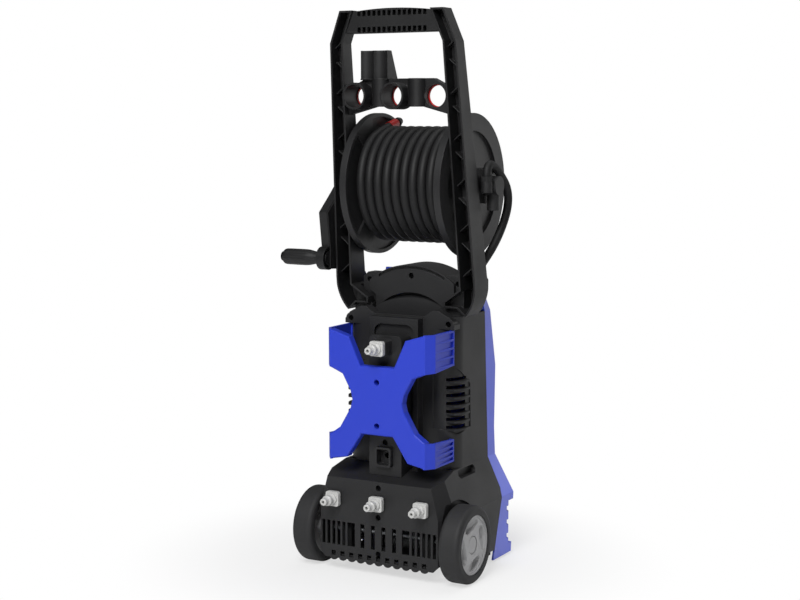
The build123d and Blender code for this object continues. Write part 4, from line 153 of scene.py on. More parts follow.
def moulded(name, colour, rubbed, roughness, grain_mm, grain, wave, edge_mm=EDGE_MM, ior=PLASTIC_IOR):
    """Moulded plastic or rubber with a fine grain, slow waviness and rubbed corners."""
    made = bpy.data.materials.new(name)
    made.use_nodes = True
    tree = made.node_tree
    tree.nodes.clear()
    place = node(tree, "ShaderNodeTexCoord").outputs["Object"]
    pebbles = node(tree, "ShaderNodeTexNoise", links={"Vector": place},
                   values={"Scale": 1 / (grain_mm * MM), "Detail": 3.0, "Roughness": 0.6})
    waves = node(tree, "ShaderNodeTexNoise", links={"Vector": place},
                 values={"Scale": 1 / (WAVE_MM * MM), "Detail": 1.0})
    clouds = node(tree, "ShaderNodeTexNoise", links={"Vector": place},
                  values={"Scale": 1 / (CLOUD_MM * MM), "Detail": 4.0})
    true_normal = node(tree, "ShaderNodeNewGeometry").outputs["Normal"]
    rounded = node(tree, "ShaderNodeBevel", values={"Radius": edge_mm * MM}, samples=BEVEL_SAMPLES)
    facing = node(tree, "ShaderNodeVectorMath", operation="DOT_PRODUCT",
                  links={0: rounded.outputs[0], 1: true_normal})
    corner = node(tree, "ShaderNodeMapRange", links={"Value": facing.outputs["Value"]},
                  values={"From Min": BLUNT_EDGE, "From Max": SHARP_EDGE})
    worn = node(tree, "ShaderNodeMath", operation="MULTIPLY",
                links={0: corner.outputs[0], 1: clouds.outputs["Fac"]})
    tint = node(tree, "ShaderNodeMix", data_type="RGBA", links={"Factor": worn.outputs[0]},
                values={"A": srgb(colour), "B": srgb(rubbed)})
    gloss = node(tree, "ShaderNodeMapRange", links={"Value": clouds.outputs["Fac"]},
                 values={"From Min": NOISE_LOW, "From Max": NOISE_HIGH,
                         "To Min": roughness - SMOOTHER, "To Max": roughness + ROUGHER})
    wavy = node(tree, "ShaderNodeBump",
                links={"Height": waves.outputs["Fac"], "Normal": rounded.outputs[0]},
                values={"Strength": wave, "Distance": WAVE_HEIGHT})
    grained = node(tree, "ShaderNodeBump",
                   links={"Height": pebbles.outputs["Fac"], "Normal": wavy.outputs[0]},
                   values={"Strength": grain, "Distance": GRAIN_HEIGHT})
    shader = node(tree, "ShaderNodeBsdfPrincipled", values={"IOR": ior},
                  links={"Base Color": tint.outputs["Result"], "Roughness": gloss.outputs[0],
                         "Normal": grained.outputs[0]})
    node(tree, "ShaderNodeOutputMaterial", links={"Surface": shader.outputs[0]})
    return made


# %% [markdown]
# ### The plastics
# The casing and the handle are black ABS and glass-filled nylon with a matt grain. The cord wrap is
# blue ABS from a smoother mould, so it keeps a satin sheen. The front cover is the same blue ABS from a
# polished mould, and its gloss takes in the bright backdrop; its colour is also painted lighter than the
# wrap's, painted light for the strip of it that shows, and both make that strip so pale. The nozzles
# are white acetal, nearly smooth, the rings and collars gloss red, and the wheel discs grey
# polypropylene.

# %% Plastics
finishes = {
    "casing_plastic": moulded("black_abs_grained", colour="#252526", rubbed="#373738",
                              roughness=0.45, grain_mm=0.9, grain=0.35, wave=0.10),
    "handle_plastic": moulded("black_nylon_grained", colour="#171718", rubbed="#2b2b2c",
                              roughness=0.48, grain_mm=0.8, grain=0.40, wave=0.08, ior=1.46),
    "blue_plastic": moulded("blue_abs_satin", colour="#2b40c4", rubbed="#4a58d8",
                            roughness=0.38, grain_mm=1.1, grain=0.15, wave=0.08, ior=1.38),
    "nozzle_plastic": moulded("white_acetal", colour="#c9c9c7", rubbed="#dededc",
                              roughness=0.34, grain_mm=1.2, grain=0.08, wave=0.05),
    "accent_plastic": moulded("red_abs_gloss", colour="#c31a1a", rubbed="#dd3b36",
                              roughness=0.30, grain_mm=1.0, grain=0.08, wave=0.05),
    "wheel_plastic": moulded("grey_polypropylene", colour="#adadae", rubbed="#c4c4c5",
                             roughness=0.42, grain_mm=1.0, grain=0.25, wave=0.10),
}
# The front cover's copy of the same blue is painted lighter: painted light, not a different plastic.
blue_painted_lighter = moulded("blue_abs_painted_lighter", colour="#4a60ea", rubbed="#6472ee",
                     roughness=0.33, grain_mm=1.1, grain=0.04, wave=0.05, ior=2.0)
print("plastics", len(finishes) + 1)

# %% [markdown]
# ### The rubbers
# Tyres and feet are matt rubber that takes scuffs on its shoulders. The hoses have a smoother extruded
# cover that shines softly along each turn, so they use the same recipe with a coarser, weaker grain.

# %% Rubbers
finishes["tyre_rubber"] = moulded("black_tyre_rubber", colour="#2c2c2d", rubbed="#3e3e3f",
                                  roughness=0.62, grain_mm=0.8, grain=0.50, wave=0.12, edge_mm=1.6)
finishes["foot_rubber"] = moulded("black_foot_rubber", colour="#1d1d1e", rubbed="#333334",
                                  roughness=0.70, grain_mm=0.8, grain=0.50, wave=0.10)
finishes["hose_rubber"] = moulded("black_hose_rubber", colour="#171718", rubbed="#282829",
                                  roughness=0.60, grain_mm=1.6, grain=0.20, wave=0.15, edge_mm=0.3)
print("finishes so far", len(finishes) + 1)


# %% [markdown]
# ### The metals
# Shafts and spindle are plain turned steel, the screws are blackened steel, the water inlet is turned
# brass and the pump cast aluminium. Most of it is hidden inside, so one recipe serves: fine noise that
# varies the roughness, as the marks of turning and casting do.


# %% Metals
MARK_HEIGHT = 0.05 * MM
MARK_STRENGTH = 0.15
MARK_SMOOTHER = 0.08
MARK_ROUGHER = 0.10


def metal(name, colour, roughness, mark_mm):
    """Bare metal whose roughness varies with fine turning or casting marks."""
    made = bpy.data.materials.new(name)
    made.use_nodes = True
    tree = made.node_tree
    tree.nodes.clear()
    place = node(tree, "ShaderNodeTexCoord").outputs["Object"]
    marks = node(tree, "ShaderNodeTexNoise", links={"Vector": place},
                 values={"Scale": 1 / (mark_mm * MM), "Detail": 4.0})
    gloss = node(tree, "ShaderNodeMapRange", links={"Value": marks.outputs["Fac"]},
                 values={"To Min": roughness - MARK_SMOOTHER, "To Max": roughness + MARK_ROUGHER})
    bump = node(tree, "ShaderNodeBump", links={"Height": marks.outputs["Fac"]},
                values={"Strength": MARK_STRENGTH, "Distance": MARK_HEIGHT})
    shader = node(tree, "ShaderNodeBsdfPrincipled", values={"Base Color": srgb(colour), "Metallic": 1.0},
                  links={"Roughness": gloss.outputs[0], "Normal": bump.outputs[0]})
    node(tree, "ShaderNodeOutputMaterial", links={"Surface": shader.outputs[0]})
    return made


finishes["steel"] = metal("turned_steel", "#b9bcc0", 0.35, 0.6)
finishes["brass"] = metal("turned_brass", "#c9a24e", 0.30, 0.7)
finishes["aluminium"] = metal("cast_aluminium", "#b4b6b8", 0.45, 1.2)
finishes["lamination"] = metal("varnished_laminations", "#4a4644", 0.50, 0.5)
black_steel = metal("black_oxide_steel", "#1c1c1e", 0.46, 0.6)
print("finishes", len(finishes) + 2)

# %% Finish every CAD node by its slot
for subpart in frame["record"]["subparts"]:
    slots = nodes[subpart["node"]].data.materials
    slots.clear()
    slots.append(finishes[subpart["material_slot"]])
# The front cover takes the copy of the blue that is painted lighter, as painted light.
nodes["front_cover"].data.materials[0] = blue_painted_lighter


# %% [markdown]
# ## Hoses
# A hose is one tube of fixed length. Its middle line is a NURBS spline: with an order of 3 it runs
# smoothly past its control points, without the kinks of straight runs joined by arcs. A bevelled curve
# would draw the tube, but a Geometry Nodes tree that sweeps a circle along the route gives a plain mesh
# with named sizes, and the points of the line itself can be read first.


# %% Geometry Nodes helpers
def new_tree(name, sockets):
    """Empty Geometry Nodes tree with the named inputs and one geometry output."""
    tree = bpy.data.node_groups.new(name, "GeometryNodeTree")
    for label, kind in sockets.items():
        tree.interface.new_socket(label, in_out="INPUT", socket_type=kind)
    tree.interface.new_socket("Geometry", in_out="OUTPUT", socket_type="NodeSocketGeometry")
    return tree, node(tree, "NodeGroupInput").outputs


def close_tree(tree, geometry, finish):
    """End a tree: instances become real geometry, which gets its material."""
    real = node(tree, "GeometryNodeRealizeInstances", links={"Geometry": geometry})
    painted = node(tree, "GeometryNodeSetMaterial",
                   links={"Geometry": real.outputs[0], "Material": finish})
    node(tree, "NodeGroupOutput", links={"Geometry": painted.outputs[0]})


def grown(name, source, tree, sizes):
    """Plain mesh object that the tree makes of the source, which is then taken away."""
    modifier = source.modifiers.new(tree.name, "NODES")
    modifier.node_group = tree
    sockets = {item.name: item.identifier for item in tree.interface.items_tree
               if item.in_out == "INPUT"}
    for label, value in sizes.items():
        modifier[sockets[label]] = value
    depsgraph = bpy.context.evaluated_depsgraph_get()
    mesh = bpy.data.meshes.new_from_object(source.evaluated_get(depsgraph), depsgraph=depsgraph)
    bpy.data.objects.remove(source)
    mesh.name = name
    mesh.materials.clear()
    mesh.materials.append(sizes["Finish"])
    piece = bpy.data.objects.new(name, mesh)
    scene.collection.objects.link(piece)
    return piece


# %% Hose tree
hose_tree, given = new_tree("round_hose", {
    "Route": "NodeSocketGeometry", "Radius": "NodeSocketFloat", "Sides": "NodeSocketInt",
    "Finish": "NodeSocketMaterial"})
ring = node(hose_tree, "GeometryNodeCurvePrimitiveCircle",
            links={"Resolution": given["Sides"], "Radius": given["Radius"]})
tube = node(hose_tree, "GeometryNodeCurveToMesh", values={"Fill Caps": True},
            links={"Curve": given["Route"], "Profile Curve": ring.outputs["Curve"]})
smooth = node(hose_tree, "GeometryNodeSetShadeSmooth", links={"Geometry": tube.outputs["Mesh"]})
close_tree(hose_tree, smooth.outputs[0], given["Finish"])
HOSE_SIDES = 20
SPLINE_ORDER = 3


def hose_piece(name, points, radius, resolution):
    """Round hose along one smooth open spline, and the points of its middle line."""
    curve = bpy.data.curves.new(name, "CURVE")
    curve.dimensions = "3D"
    spline = curve.splines.new("NURBS")
    spline.points.add(len(points) - 1)
    for place, point in zip(spline.points, points):
        place.co = (*point, 1.0)
    spline.order_u = SPLINE_ORDER
    spline.use_endpoint_u = True
    spline.resolution_u = resolution
    route = bpy.data.objects.new(name + "_route", curve)
    scene.collection.objects.link(route)
    line = bpy.data.meshes.new_from_object(route)
    path = [vertex.co.copy() for vertex in line.vertices]
    sizes = {"Radius": radius, "Sides": HOSE_SIDES, "Finish": finishes["hose_rubber"]}
    return grown(name, route, hose_tree, sizes), path


def measured(path):
    """Length along the points of a path."""
    return sum((b - a).length for a, b in zip(path, path[1:]))


# %% [markdown]
# ### High-pressure hose on the reel
# The outer layer makes eight and a half turns side by side over the layers under it, and its end stands
# off the reel with the coupling on it. Two dozen control points a turn give a smooth helix: such a
# spline runs a little inside its control points, so they sit on a slightly larger circle.

# %% Outer layer of hose
HOSE_R = 7.0 * MM
WIND_R = 83.0 * MM
WIND_PITCH = 15.0 * MM
WIND_HALF_TURNS = 17
WIND_END_ANGLE = 105.0
WIND_END_RUN = 30.0 * MM
WIND_LEFT = 66.5 * MM
POINTS_PER_TURN = 24
WIND_RESOLUTION = 4
reel = middle("reel_drum")
step = 360.0 / POINTS_PER_TURN
# the spline's middle between knots takes 3/4 of one control point and 1/8 of each of its neighbours
control_r = WIND_R / (0.75 + 0.25 * math.cos(math.radians(step)))


def on_reel(x, radius, degrees):
    """Point about the reel's axis, its angle counted from the front upwards."""
    angle = math.radians(degrees)
    return Vector((x, reel.y + radius * math.cos(angle), reel.z + radius * math.sin(angle)))


def backwards(degrees):
    """Direction along the hose at that angle: backwards round the reel."""
    return Vector((0.0, math.sin(math.radians(degrees)), -math.cos(math.radians(degrees))))


wound_degrees = 180.0 * WIND_HALF_TURNS
start_angle = WIND_END_ANGLE + wound_degrees
wind_left = reel.x - WIND_LEFT
wind_right = wind_left + WIND_PITCH * WIND_HALF_TURNS / 2
hose_points = [on_reel(wind_right, WIND_R, start_angle) - backwards(start_angle) * 2 * HOSE_R]
for index in range(int(wound_degrees / step)):
    wound = (index + 0.5) * step
    x = wind_right - WIND_PITCH * wound / 360.0
    hose_points.append(on_reel(x, control_r, start_angle - wound))
free_end = on_reel(wind_left, WIND_R, WIND_END_ANGLE)
hose_points.append(free_end + backwards(WIND_END_ANGLE) * WIND_END_RUN)
hose, hose_path = hose_piece("wound_hose", hose_points, HOSE_R, WIND_RESOLUTION)
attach(hose, "reel")
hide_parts("hose_winding")
print("wound hose", round(measured(hose_path), 3), "m,", len(hose.data.polygons), "faces")

# %% [markdown]
# ### Lead hose
# A short stiff hose feeds the reel: it rises from the nut on the swivel, turns forwards and down,
# and goes into the gland in the casing's top. Its control points are the corners of the CAD route. The
# stated length is that of the CAD route; the spline cuts its corners and comes out a little shorter.

# %% Lead hose
LEAD_R = 6.5 * MM
LEAD_RESOLUTION = 24
LEAD_CORNERS = ((0, 0, 624), (0, 32, 618), (0, 88, 572), (-4, 50, 505))  # x and y from the nut, z, in mm
LEAD_ENTRY_Z = 446 * MM
port = middle("lead_nut")
gland = middle("hose_gland")
nut_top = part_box("lead_nut")[1][2]
gland_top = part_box("hose_gland")[1][2]
lead_points = [Vector((port.x, port.y, nut_top))]
for right, forward, z in LEAD_CORNERS:
    lead_points.append(Vector((port.x + right * MM, port.y + forward * MM, z * MM)))
lead_points.append(Vector((gland.x, gland.y, LEAD_ENTRY_Z)))
lead_points.append(Vector((gland.x, gland.y, gland_top)))
lead, lead_path = hose_piece("lead_hose_tube", lead_points, LEAD_R, LEAD_RESOLUTION)
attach(lead, "machine")
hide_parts("lead_hose")
print("lead hose", round(measured(lead_path), 3), "m")

# %% [markdown]
# ## Screws
# Eleven self-tapping screws hold the covers, all driven in from the rear and sunk below the face, so in
# the picture they read as dark holes. One screw is made by Geometry Nodes, a pan head with a cross
# recess on a plain shank, and copied to the place of each CAD screw; a seeded random turn leaves every
# cross at its own angle, as a screwdriver does.

# %% Where the screws are
SCREW_R = 2.0 * MM
SCREW_LENGTH = 12.0 * MM
SCREW_HEAD_R = 4.2 * MM
SCREW_HEAD = 2.6 * MM
SCREW_APART = 2.5 * SCREW_HEAD_R
screw_places = []
for vertex in sorted(nodes["screws"].data.vertices, key=lambda vertex: vertex.co.y):
    near = [place for place in screw_places
            if math.hypot(vertex.co.x - place.x, vertex.co.z - place.z) < SCREW_APART]
    if not near:
        ring_points = [other.co for other in nodes["screws"].data.vertices
                       if (other.co - vertex.co).length < SCREW_APART]
        low_x, high_x = min(p.x for p in ring_points), max(p.x for p in ring_points)
        low_z, high_z = min(p.z for p in ring_points), max(p.z for p in ring_points)
        screw_places.append(Vector(((low_x + high_x) / 2, vertex.co.y, (low_z + high_z) / 2)))
print("screws", len(screw_places))

# %% Screw tree
CROSS_WIDTH = 1.2 * MM
CROSS_LENGTH = 5.2 * MM
CROSS_DEPTH = 1.5 * MM
DOME_SHARE = 0.35
DOME_TOP = 0.72
HEAD_SIDES = 32
SHANK_SIDES = 20
SCREW_SEED = 7
screw_tree, given = new_tree("cross_head_screws", {
    "Places": "NodeSocketGeometry", "Head radius": "NodeSocketFloat", "Seed": "NodeSocketInt",
    "Finish": "NodeSocketMaterial"})


def moved(geometry, z):
    """Geometry lifted along the screw's axis."""
    return node(screw_tree, "GeometryNodeTransform", links={"Geometry": geometry},
                values={"Translation": (0, 0, z)}).outputs[0]


dome_height = SCREW_HEAD * DOME_SHARE
rim_height = SCREW_HEAD - dome_height
rim = node(screw_tree, "GeometryNodeMeshCylinder", links={"Radius": given["Head radius"]},
           values={"Vertices": HEAD_SIDES, "Depth": rim_height})
dome_r = node(screw_tree, "ShaderNodeMath", operation="MULTIPLY", links={0: given["Head radius"]},
              values={1: DOME_TOP})
dome = node(screw_tree, "GeometryNodeMeshCone", values={"Vertices": HEAD_SIDES, "Depth": dome_height},
            links={"Radius Bottom": given["Head radius"], "Radius Top": dome_r.outputs[0]})
shank = node(screw_tree, "GeometryNodeMeshCylinder",
             values={"Vertices": SHANK_SIDES, "Radius": SCREW_R,
                     "Depth": SCREW_LENGTH - SCREW_HEAD})
solid = node(screw_tree, "GeometryNodeMeshBoolean", operation="UNION")
for part, height in ((rim, -dome_height - rim_height / 2), (dome, -dome_height),
                     (shank, -(SCREW_LENGTH + SCREW_HEAD) / 2)):
    screw_tree.links.new(moved(part.outputs["Mesh"], height), solid.inputs["Mesh 2"])
cross = node(screw_tree, "GeometryNodeMeshBoolean", operation="DIFFERENCE",
             links={"Mesh 1": solid.outputs["Mesh"]})
for size in ((CROSS_LENGTH, CROSS_WIDTH, 2 * CROSS_DEPTH), (CROSS_WIDTH, CROSS_LENGTH, 2 * CROSS_DEPTH)):
    bar = node(screw_tree, "GeometryNodeMeshCube", values={"Size": size})
    screw_tree.links.new(bar.outputs["Mesh"], cross.inputs["Mesh 2"])
facing_rear = node(screw_tree, "GeometryNodeTransform", links={"Geometry": cross.outputs["Mesh"]},
                   values={"Rotation": (math.radians(90), 0, 0)})
turn = node(screw_tree, "FunctionNodeRandomValue", data_type="FLOAT", links={"Seed": given["Seed"]})
angles = node(screw_tree, "ShaderNodeCombineXYZ")
half_turn = node(screw_tree, "ShaderNodeMath", operation="MULTIPLY", values={1: math.pi})
random_turn = next(out for out in turn.outputs if out.enabled and out.type == "VALUE")
screw_tree.links.new(random_turn, half_turn.inputs[0])
screw_tree.links.new(half_turn.outputs[0], angles.inputs["Y"])
copies = node(screw_tree, "GeometryNodeInstanceOnPoints",
              links={"Points": given["Places"], "Instance": facing_rear.outputs[0],
                     "Rotation": angles.outputs[0]})
close_tree(screw_tree, copies.outputs[0], given["Finish"])

# %% Screws
dots = bpy.data.meshes.new("screw_dots")
dots.from_pydata(screw_places, [], [])
source = bpy.data.objects.new("screw_dots", dots)
scene.collection.objects.link(source)
screws = grown("cross_head_screws", source, screw_tree,
               {"Head radius": SCREW_HEAD_R, "Seed": SCREW_SEED, "Finish": black_steel})
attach(screws, "machine")
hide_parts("screws")
print("screw faces", len(screws.data.polygons))

# %% [markdown]
# ## Tabs along the rear edge
# Below each notch in the foot of the rear casing hangs a small rounded tab, so the edge looks
# scalloped. A row of equal shapes is a task for Geometry Nodes: a line of points, one flattened disc on
# each, sunk into the wall so that only its lower half shows.

# %% Tab tree
TAB_SIDES = 32
tab_tree, given = new_tree("scalloped_edge", {
    "Line": "NodeSocketGeometry", "Width": "NodeSocketFloat", "Drop": "NodeSocketFloat",
    "Thickness": "NodeSocketFloat", "Finish": "NodeSocketMaterial"})
disc = node(tab_tree, "GeometryNodeMeshCylinder", links={"Depth": given["Thickness"]},
            values={"Vertices": TAB_SIDES, "Radius": 1.0})
half_width = node(tab_tree, "ShaderNodeMath", operation="MULTIPLY", links={0: given["Width"]},
                  values={1: 0.5})
oval = node(tab_tree, "ShaderNodeCombineXYZ", values={"Z": 1.0},
            links={"X": half_width.outputs[0], "Y": given["Drop"]})
flat = node(tab_tree, "GeometryNodeTransform",
            links={"Geometry": disc.outputs["Mesh"], "Scale": oval.outputs[0]})
upright = node(tab_tree, "GeometryNodeTransform", links={"Geometry": flat.outputs[0]},
               values={"Rotation": (math.radians(90), 0, 0)})
row = node(tab_tree, "GeometryNodeInstanceOnPoints",
           links={"Points": given["Line"], "Instance": upright.outputs[0]})
close_tree(tab_tree, row.outputs[0], given["Finish"])

# %% Tabs
NOTCHES = 11
NOTCH_PITCH = 15.8 * MM
TAB_WIDTH = 12.0 * MM
TAB_DROP = 3.6 * MM
TAB_THICKNESS = 2.2 * MM
WALL = 3.0 * MM
EDGE_BAND = 0.5 * MM
edge_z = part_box("rear_casing")[0][2]
edge_y = min(v.co.y for v in nodes["rear_casing"].data.vertices if v.co.z < edge_z + EDGE_BAND)
dots = bpy.data.meshes.new("tab_dots")
dots.from_pydata([(reel.x + (index - (NOTCHES - 1) / 2) * NOTCH_PITCH, edge_y + WALL / 2, edge_z)
                  for index in range(NOTCHES)], [], [])
source = bpy.data.objects.new("tab_dots", dots)
scene.collection.objects.link(source)
tabs = grown("rear_edge_tabs", source, tab_tree,
             {"Width": TAB_WIDTH, "Drop": TAB_DROP, "Thickness": TAB_THICKNESS,
              "Finish": finishes["casing_plastic"]})
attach(tabs, "machine")
print("tabs", NOTCHES, "at", [round(c, 4) for c in (edge_y, edge_z)])

# %% [markdown]
# ## Turned pieces
# The crank's grip and the caps on the axle are round about an axis that runs across the machine. A
# turned piece is one ring of vertices for each point of its profile, with faces between neighbours.
# Flutes are shallow grooves: the radius shrinks a little where the cosine round the ring is highest. A
# Screw modifier would also turn a profile, but its radius can't change round the ring, as flutes need.


# %% Turned surface
def turned(mesh, profile, y, z, segments, flutes=0, flute_depth=0.0):
    """Surface round the line along X through y and z; a profile point is x, radius, share of flute."""
    rings = []
    for x, radius, fluted in profile:
        ring = []
        for index in range(segments):
            angle = 2 * math.pi * index / segments
            groove = flute_depth * fluted * max(0.0, math.cos(flutes * angle)) ** 2
            ring.append(mesh.verts.new((x, y + (radius - groove) * math.cos(angle),
                                        z + (radius - groove) * math.sin(angle))))
        rings.append(ring)
    for ring, other in zip(rings, rings[1:]):
        for index in range(segments):
            after = (index + 1) % segments
            mesh.faces.new((ring[index], ring[after], other[after], other[index])).smooth = True
    mesh.faces.new(rings[0])
    mesh.faces.new(rings[-1])


def piece_of(name, mesh, finish):
    """Object made of a bmesh, with one finish."""
    bmesh.ops.recalc_face_normals(mesh, faces=mesh.faces)
    data = bpy.data.meshes.new(name)
    mesh.to_mesh(data)
    mesh.free()
    data.materials.append(finish)
    piece = bpy.data.objects.new(name, data)
    scene.collection.objects.link(piece)
    return piece


# %% [markdown]
# ### Grip of the crank
# The grip is nearly a cylinder: a narrow neck at the arm, a swell for the palm, a blunt outer end, and
# flutes along the part that the fingers hold. Its profile is in mm, counted outwards from the arm. The
# pin through it ends in a dark head.

# %% Crank grip
GRIP_PROFILE = ((0.0, 8.6, 0), (1.0, 9.0, 0), (7.0, 9.3, 0), (14.0, 10.8, 0), (20.0, 12.0, 0),
                (24.0, 12.4, 0.5), (27.0, 12.6, 1), (40.0, 12.7, 1), (56.0, 12.6, 1), (60.0, 12.5, 0.5),
                (62.5, 12.4, 0), (64.6, 11.9, 0), (66.0, 10.9, 0), (66.6, 9.6, 0))
GRIP_SEGMENTS = 80
GRIP_FLUTES = 10
GRIP_FLUTE_DEPTH = 0.7 * MM
grip_middle = middle("crank_grip")
grip_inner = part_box("crank_grip")[1][0]
mesh = bmesh.new()
turned(mesh, [(grip_inner - x * MM, radius * MM, fluted) for x, radius, fluted in GRIP_PROFILE],
       grip_middle.y, grip_middle.z, GRIP_SEGMENTS, GRIP_FLUTES, GRIP_FLUTE_DEPTH)
grip = piece_of("fluted_grip", mesh, finishes["handle_plastic"])
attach(grip, "crank_handle")
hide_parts("crank_grip")
nodes["crank_pin"].data.materials[0] = black_steel
print("grip faces", len(grip.data.polygons))

# %% [markdown]
# ### Rib of the crank arm
# In the picture the crank arm is closed towards the handle, where CAD leaves its tray open. A solid rib
# fills the arm from its outer plate inwards. It stops short of the handle's arm at all heights that the
# crank passes, so the two stay clear of each other as the crank turns. It has flat sides, so its outline
# is simply set twice, at both ends, and joined by faces.

# %% Crank rib
RIB_GAP = 1.5 * MM
RIB_START = 1.5 * MM
# corners in y and z, mm, a little inside the arm's own outline
RIB_OUTLINE = ((21.0, 604.5), (-15.0, 573.0), (-48.0, 545.5), (-40.0, 490.0), (-40.5, 459.0),
               (-2.0, 456.0), (57.0, 577.0))
PASSED_LOW = 0.43
PASSED_HIGH = 0.75
crank_low, crank_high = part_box("crank_arm")
passed = [corner.co.x for corner in nodes["handle_arm_left"].data.vertices
          if PASSED_LOW < corner.co.z < PASSED_HIGH]
rib_inner = min(crank_high[0] - RIB_GAP, min(passed) - RIB_GAP)
rib_outer = crank_low[0] + RIB_START
mesh = bmesh.new()
outer = [mesh.verts.new((rib_outer, y * MM, z * MM)) for y, z in RIB_OUTLINE]
inner = [mesh.verts.new((rib_inner, y * MM, z * MM)) for y, z in RIB_OUTLINE]
mesh.faces.new(outer)
mesh.faces.new(inner)
for index in range(len(inner)):
    after = (index + 1) % len(inner)
    mesh.faces.new((outer[index], outer[after], inner[after], inner[index]))
rib = piece_of("crank_rib", mesh, finishes["handle_plastic"])
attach(rib, "reel")
print("rib from", round(rib_outer, 4), "to", round(rib_inner, 4))

# %% [markdown]
# ## Wheel discs
# Each disc has four long pockets between a hub ring and the rim. A pocket has a steep wall all round;
# its floor is deepest at one end and rises towards the other, so light runs along it. The face is a
# sheet of points on rings, and each point is pushed in by the depth there: a boolean cut would leave flat
# floors. The rest of the disc is kept from CAD. Sizes are in mm and angles in degrees; the pocket's
# outline and the width of its wall are in shares of the disc's radius.

# %% Depth of the wheel's face
DISC_R = 45.0
POCKETS = 4
POCKET_SPAN = 360 / POCKETS
POCKET_FROM = -36.0
POCKET_OUTLINE = ((0.42, 0.40), (0.52, 0.54), (0.68, 0.55), (0.82, 0.38), (0.905, 0.12), (0.90, -0.12),
                  (0.83, -0.31), (0.70, -0.36), (0.57, -0.12), (0.48, 0.15))
POCKET_WALL = 0.035
POCKET_DEPTH = 8.0
SHALLOW_AT = -25.0
DEEP_AT = 33.0
SHALLOW_SHARE = 0.3
HUB_DISH_R = 15.7
DISH_POWER = 6
AXLE_COVER = 0.5
HUB_DISH = (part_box("axle_caps")[1][0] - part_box("axle")[1][0]) / MM - AXLE_COVER


def smooth_step(low, high, value):
    """Smooth rise from 0 at low to 1 at high."""
    share = min(1.0, max(0.0, (value - low) / (high - low)))
    return share * share * (3 - 2 * share)


def dish_depth(radius):
    """Depth of the hub's dish, which stays clear of the axle's end."""
    return HUB_DISH * (1 - (radius / HUB_DISH_R) ** DISH_POWER) if radius < HUB_DISH_R else 0.0


def inside(point):
    """Distance of a point from the pocket's outline, 0 outside it."""
    nearest = math.inf
    within = False
    for corner, after in zip(POCKET_OUTLINE, POCKET_OUTLINE[1:] + POCKET_OUTLINE[:1]):
        start = Vector(corner)
        along = Vector(after) - start
        share = min(1.0, max(0.0, (point - start).dot(along) / along.dot(along)))
        nearest = min(nearest, (point - start - along * share).length)
        if (start.y > point.y) != (after[1] > point.y):
            if point.x < start.x + along.x * (point.y - start.y) / along.y:
                within = not within
    return nearest if within else 0.0


def face_depth(radius, degrees):
    """Depth of the wheel's face; the angle counts from the machine's front upwards."""
    angle = (degrees - POCKET_FROM) % POCKET_SPAN + POCKET_FROM
    spot = Vector((math.cos(math.radians(angle)), math.sin(math.radians(angle))))
    wall = smooth_step(0.0, POCKET_WALL, inside(spot * radius / DISC_R))
    rise = smooth_step(SHALLOW_AT, DEEP_AT, angle)
    return POCKET_DEPTH * wall * (SHALLOW_SHARE + (1 - SHALLOW_SHARE) * rise) + dish_depth(radius)


print("dish", round(HUB_DISH, 2))

# %% Sheet of the wheel's face
FACE_R = 42.0
BORE_R = 13.3
RING_STEP = 0.6
COLUMNS = 240
PLATE_DEPTH = 11.0
FACE_SLACK = 0.15
RIM_SLACK = 0.05


def take_off_face(mesh, hub, face_x, outward):
    """Remove the CAD faces between the hub's bore and the rim, down to the plate's back."""
    front = []
    for face in mesh.faces:
        spot = face.calc_center_median()
        depth = outward * (face_x - spot.x) / MM
        radius = math.hypot(spot.y - hub.y, spot.z - hub.z)
        if -FACE_SLACK < depth < PLATE_DEPTH and radius < (FACE_R - RIM_SLACK) * MM:
            front.append(face)
    bmesh.ops.delete(mesh, geom=front, context="FACES")


def put_on_face(mesh, hub, face_x, outward):
    """Add the sheet of rings from the rim to the hub's bore."""
    rings = []
    for index in range(int((FACE_R - BORE_R) / RING_STEP) + 1):
        radius = FACE_R - index * RING_STEP
        ring = []
        for column in range(COLUMNS):
            degrees = column * 360 / COLUMNS
            angle = math.radians(degrees)
            x = face_x - outward * face_depth(radius, degrees) * MM
            ring.append(mesh.verts.new((x, hub.y + radius * MM * math.cos(angle),
                                        hub.z + radius * MM * math.sin(angle))))
        rings.append(ring)
    for ring, inner in zip(rings, rings[1:]):
        for column in range(COLUMNS):
            after = (column + 1) % COLUMNS
            corners = (ring[column], ring[after], inner[after], inner[column])
            mesh.faces.new(corners if outward < 0 else corners[::-1]).smooth = True


# %% Wheel discs
FACE_SINK = 1.5 * MM
for side, outward in (("left", -1), ("right", 1)):
    cad_disc = nodes[f"wheel_disc_{side}"]
    low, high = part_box(f"wheel_disc_{side}")
    face_x = (high[0] if outward > 0 else low[0]) - outward * FACE_SINK
    hub = middle(f"wheel_disc_{side}")
    mesh = bmesh.new()
    mesh.from_mesh(cad_disc.data)
    take_off_face(mesh, hub, face_x, outward)
    put_on_face(mesh, hub, face_x, outward)
    data = cad_disc.data.copy()
    mesh.to_mesh(data)
    mesh.free()
    wheel_disc = bpy.data.objects.new(f"spoked_disc_{side}", data)
    scene.collection.objects.link(wheel_disc)
    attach(wheel_disc, f"wheel_{side}")
    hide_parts(f"wheel_disc_{side}")
    print("disc", side, len(data.polygons), "faces")

# %% [markdown]
# ### Caps on the axle
# A cap closes each end of the axle. Its face goes on with the hub's dish, so the two read as one bowl.

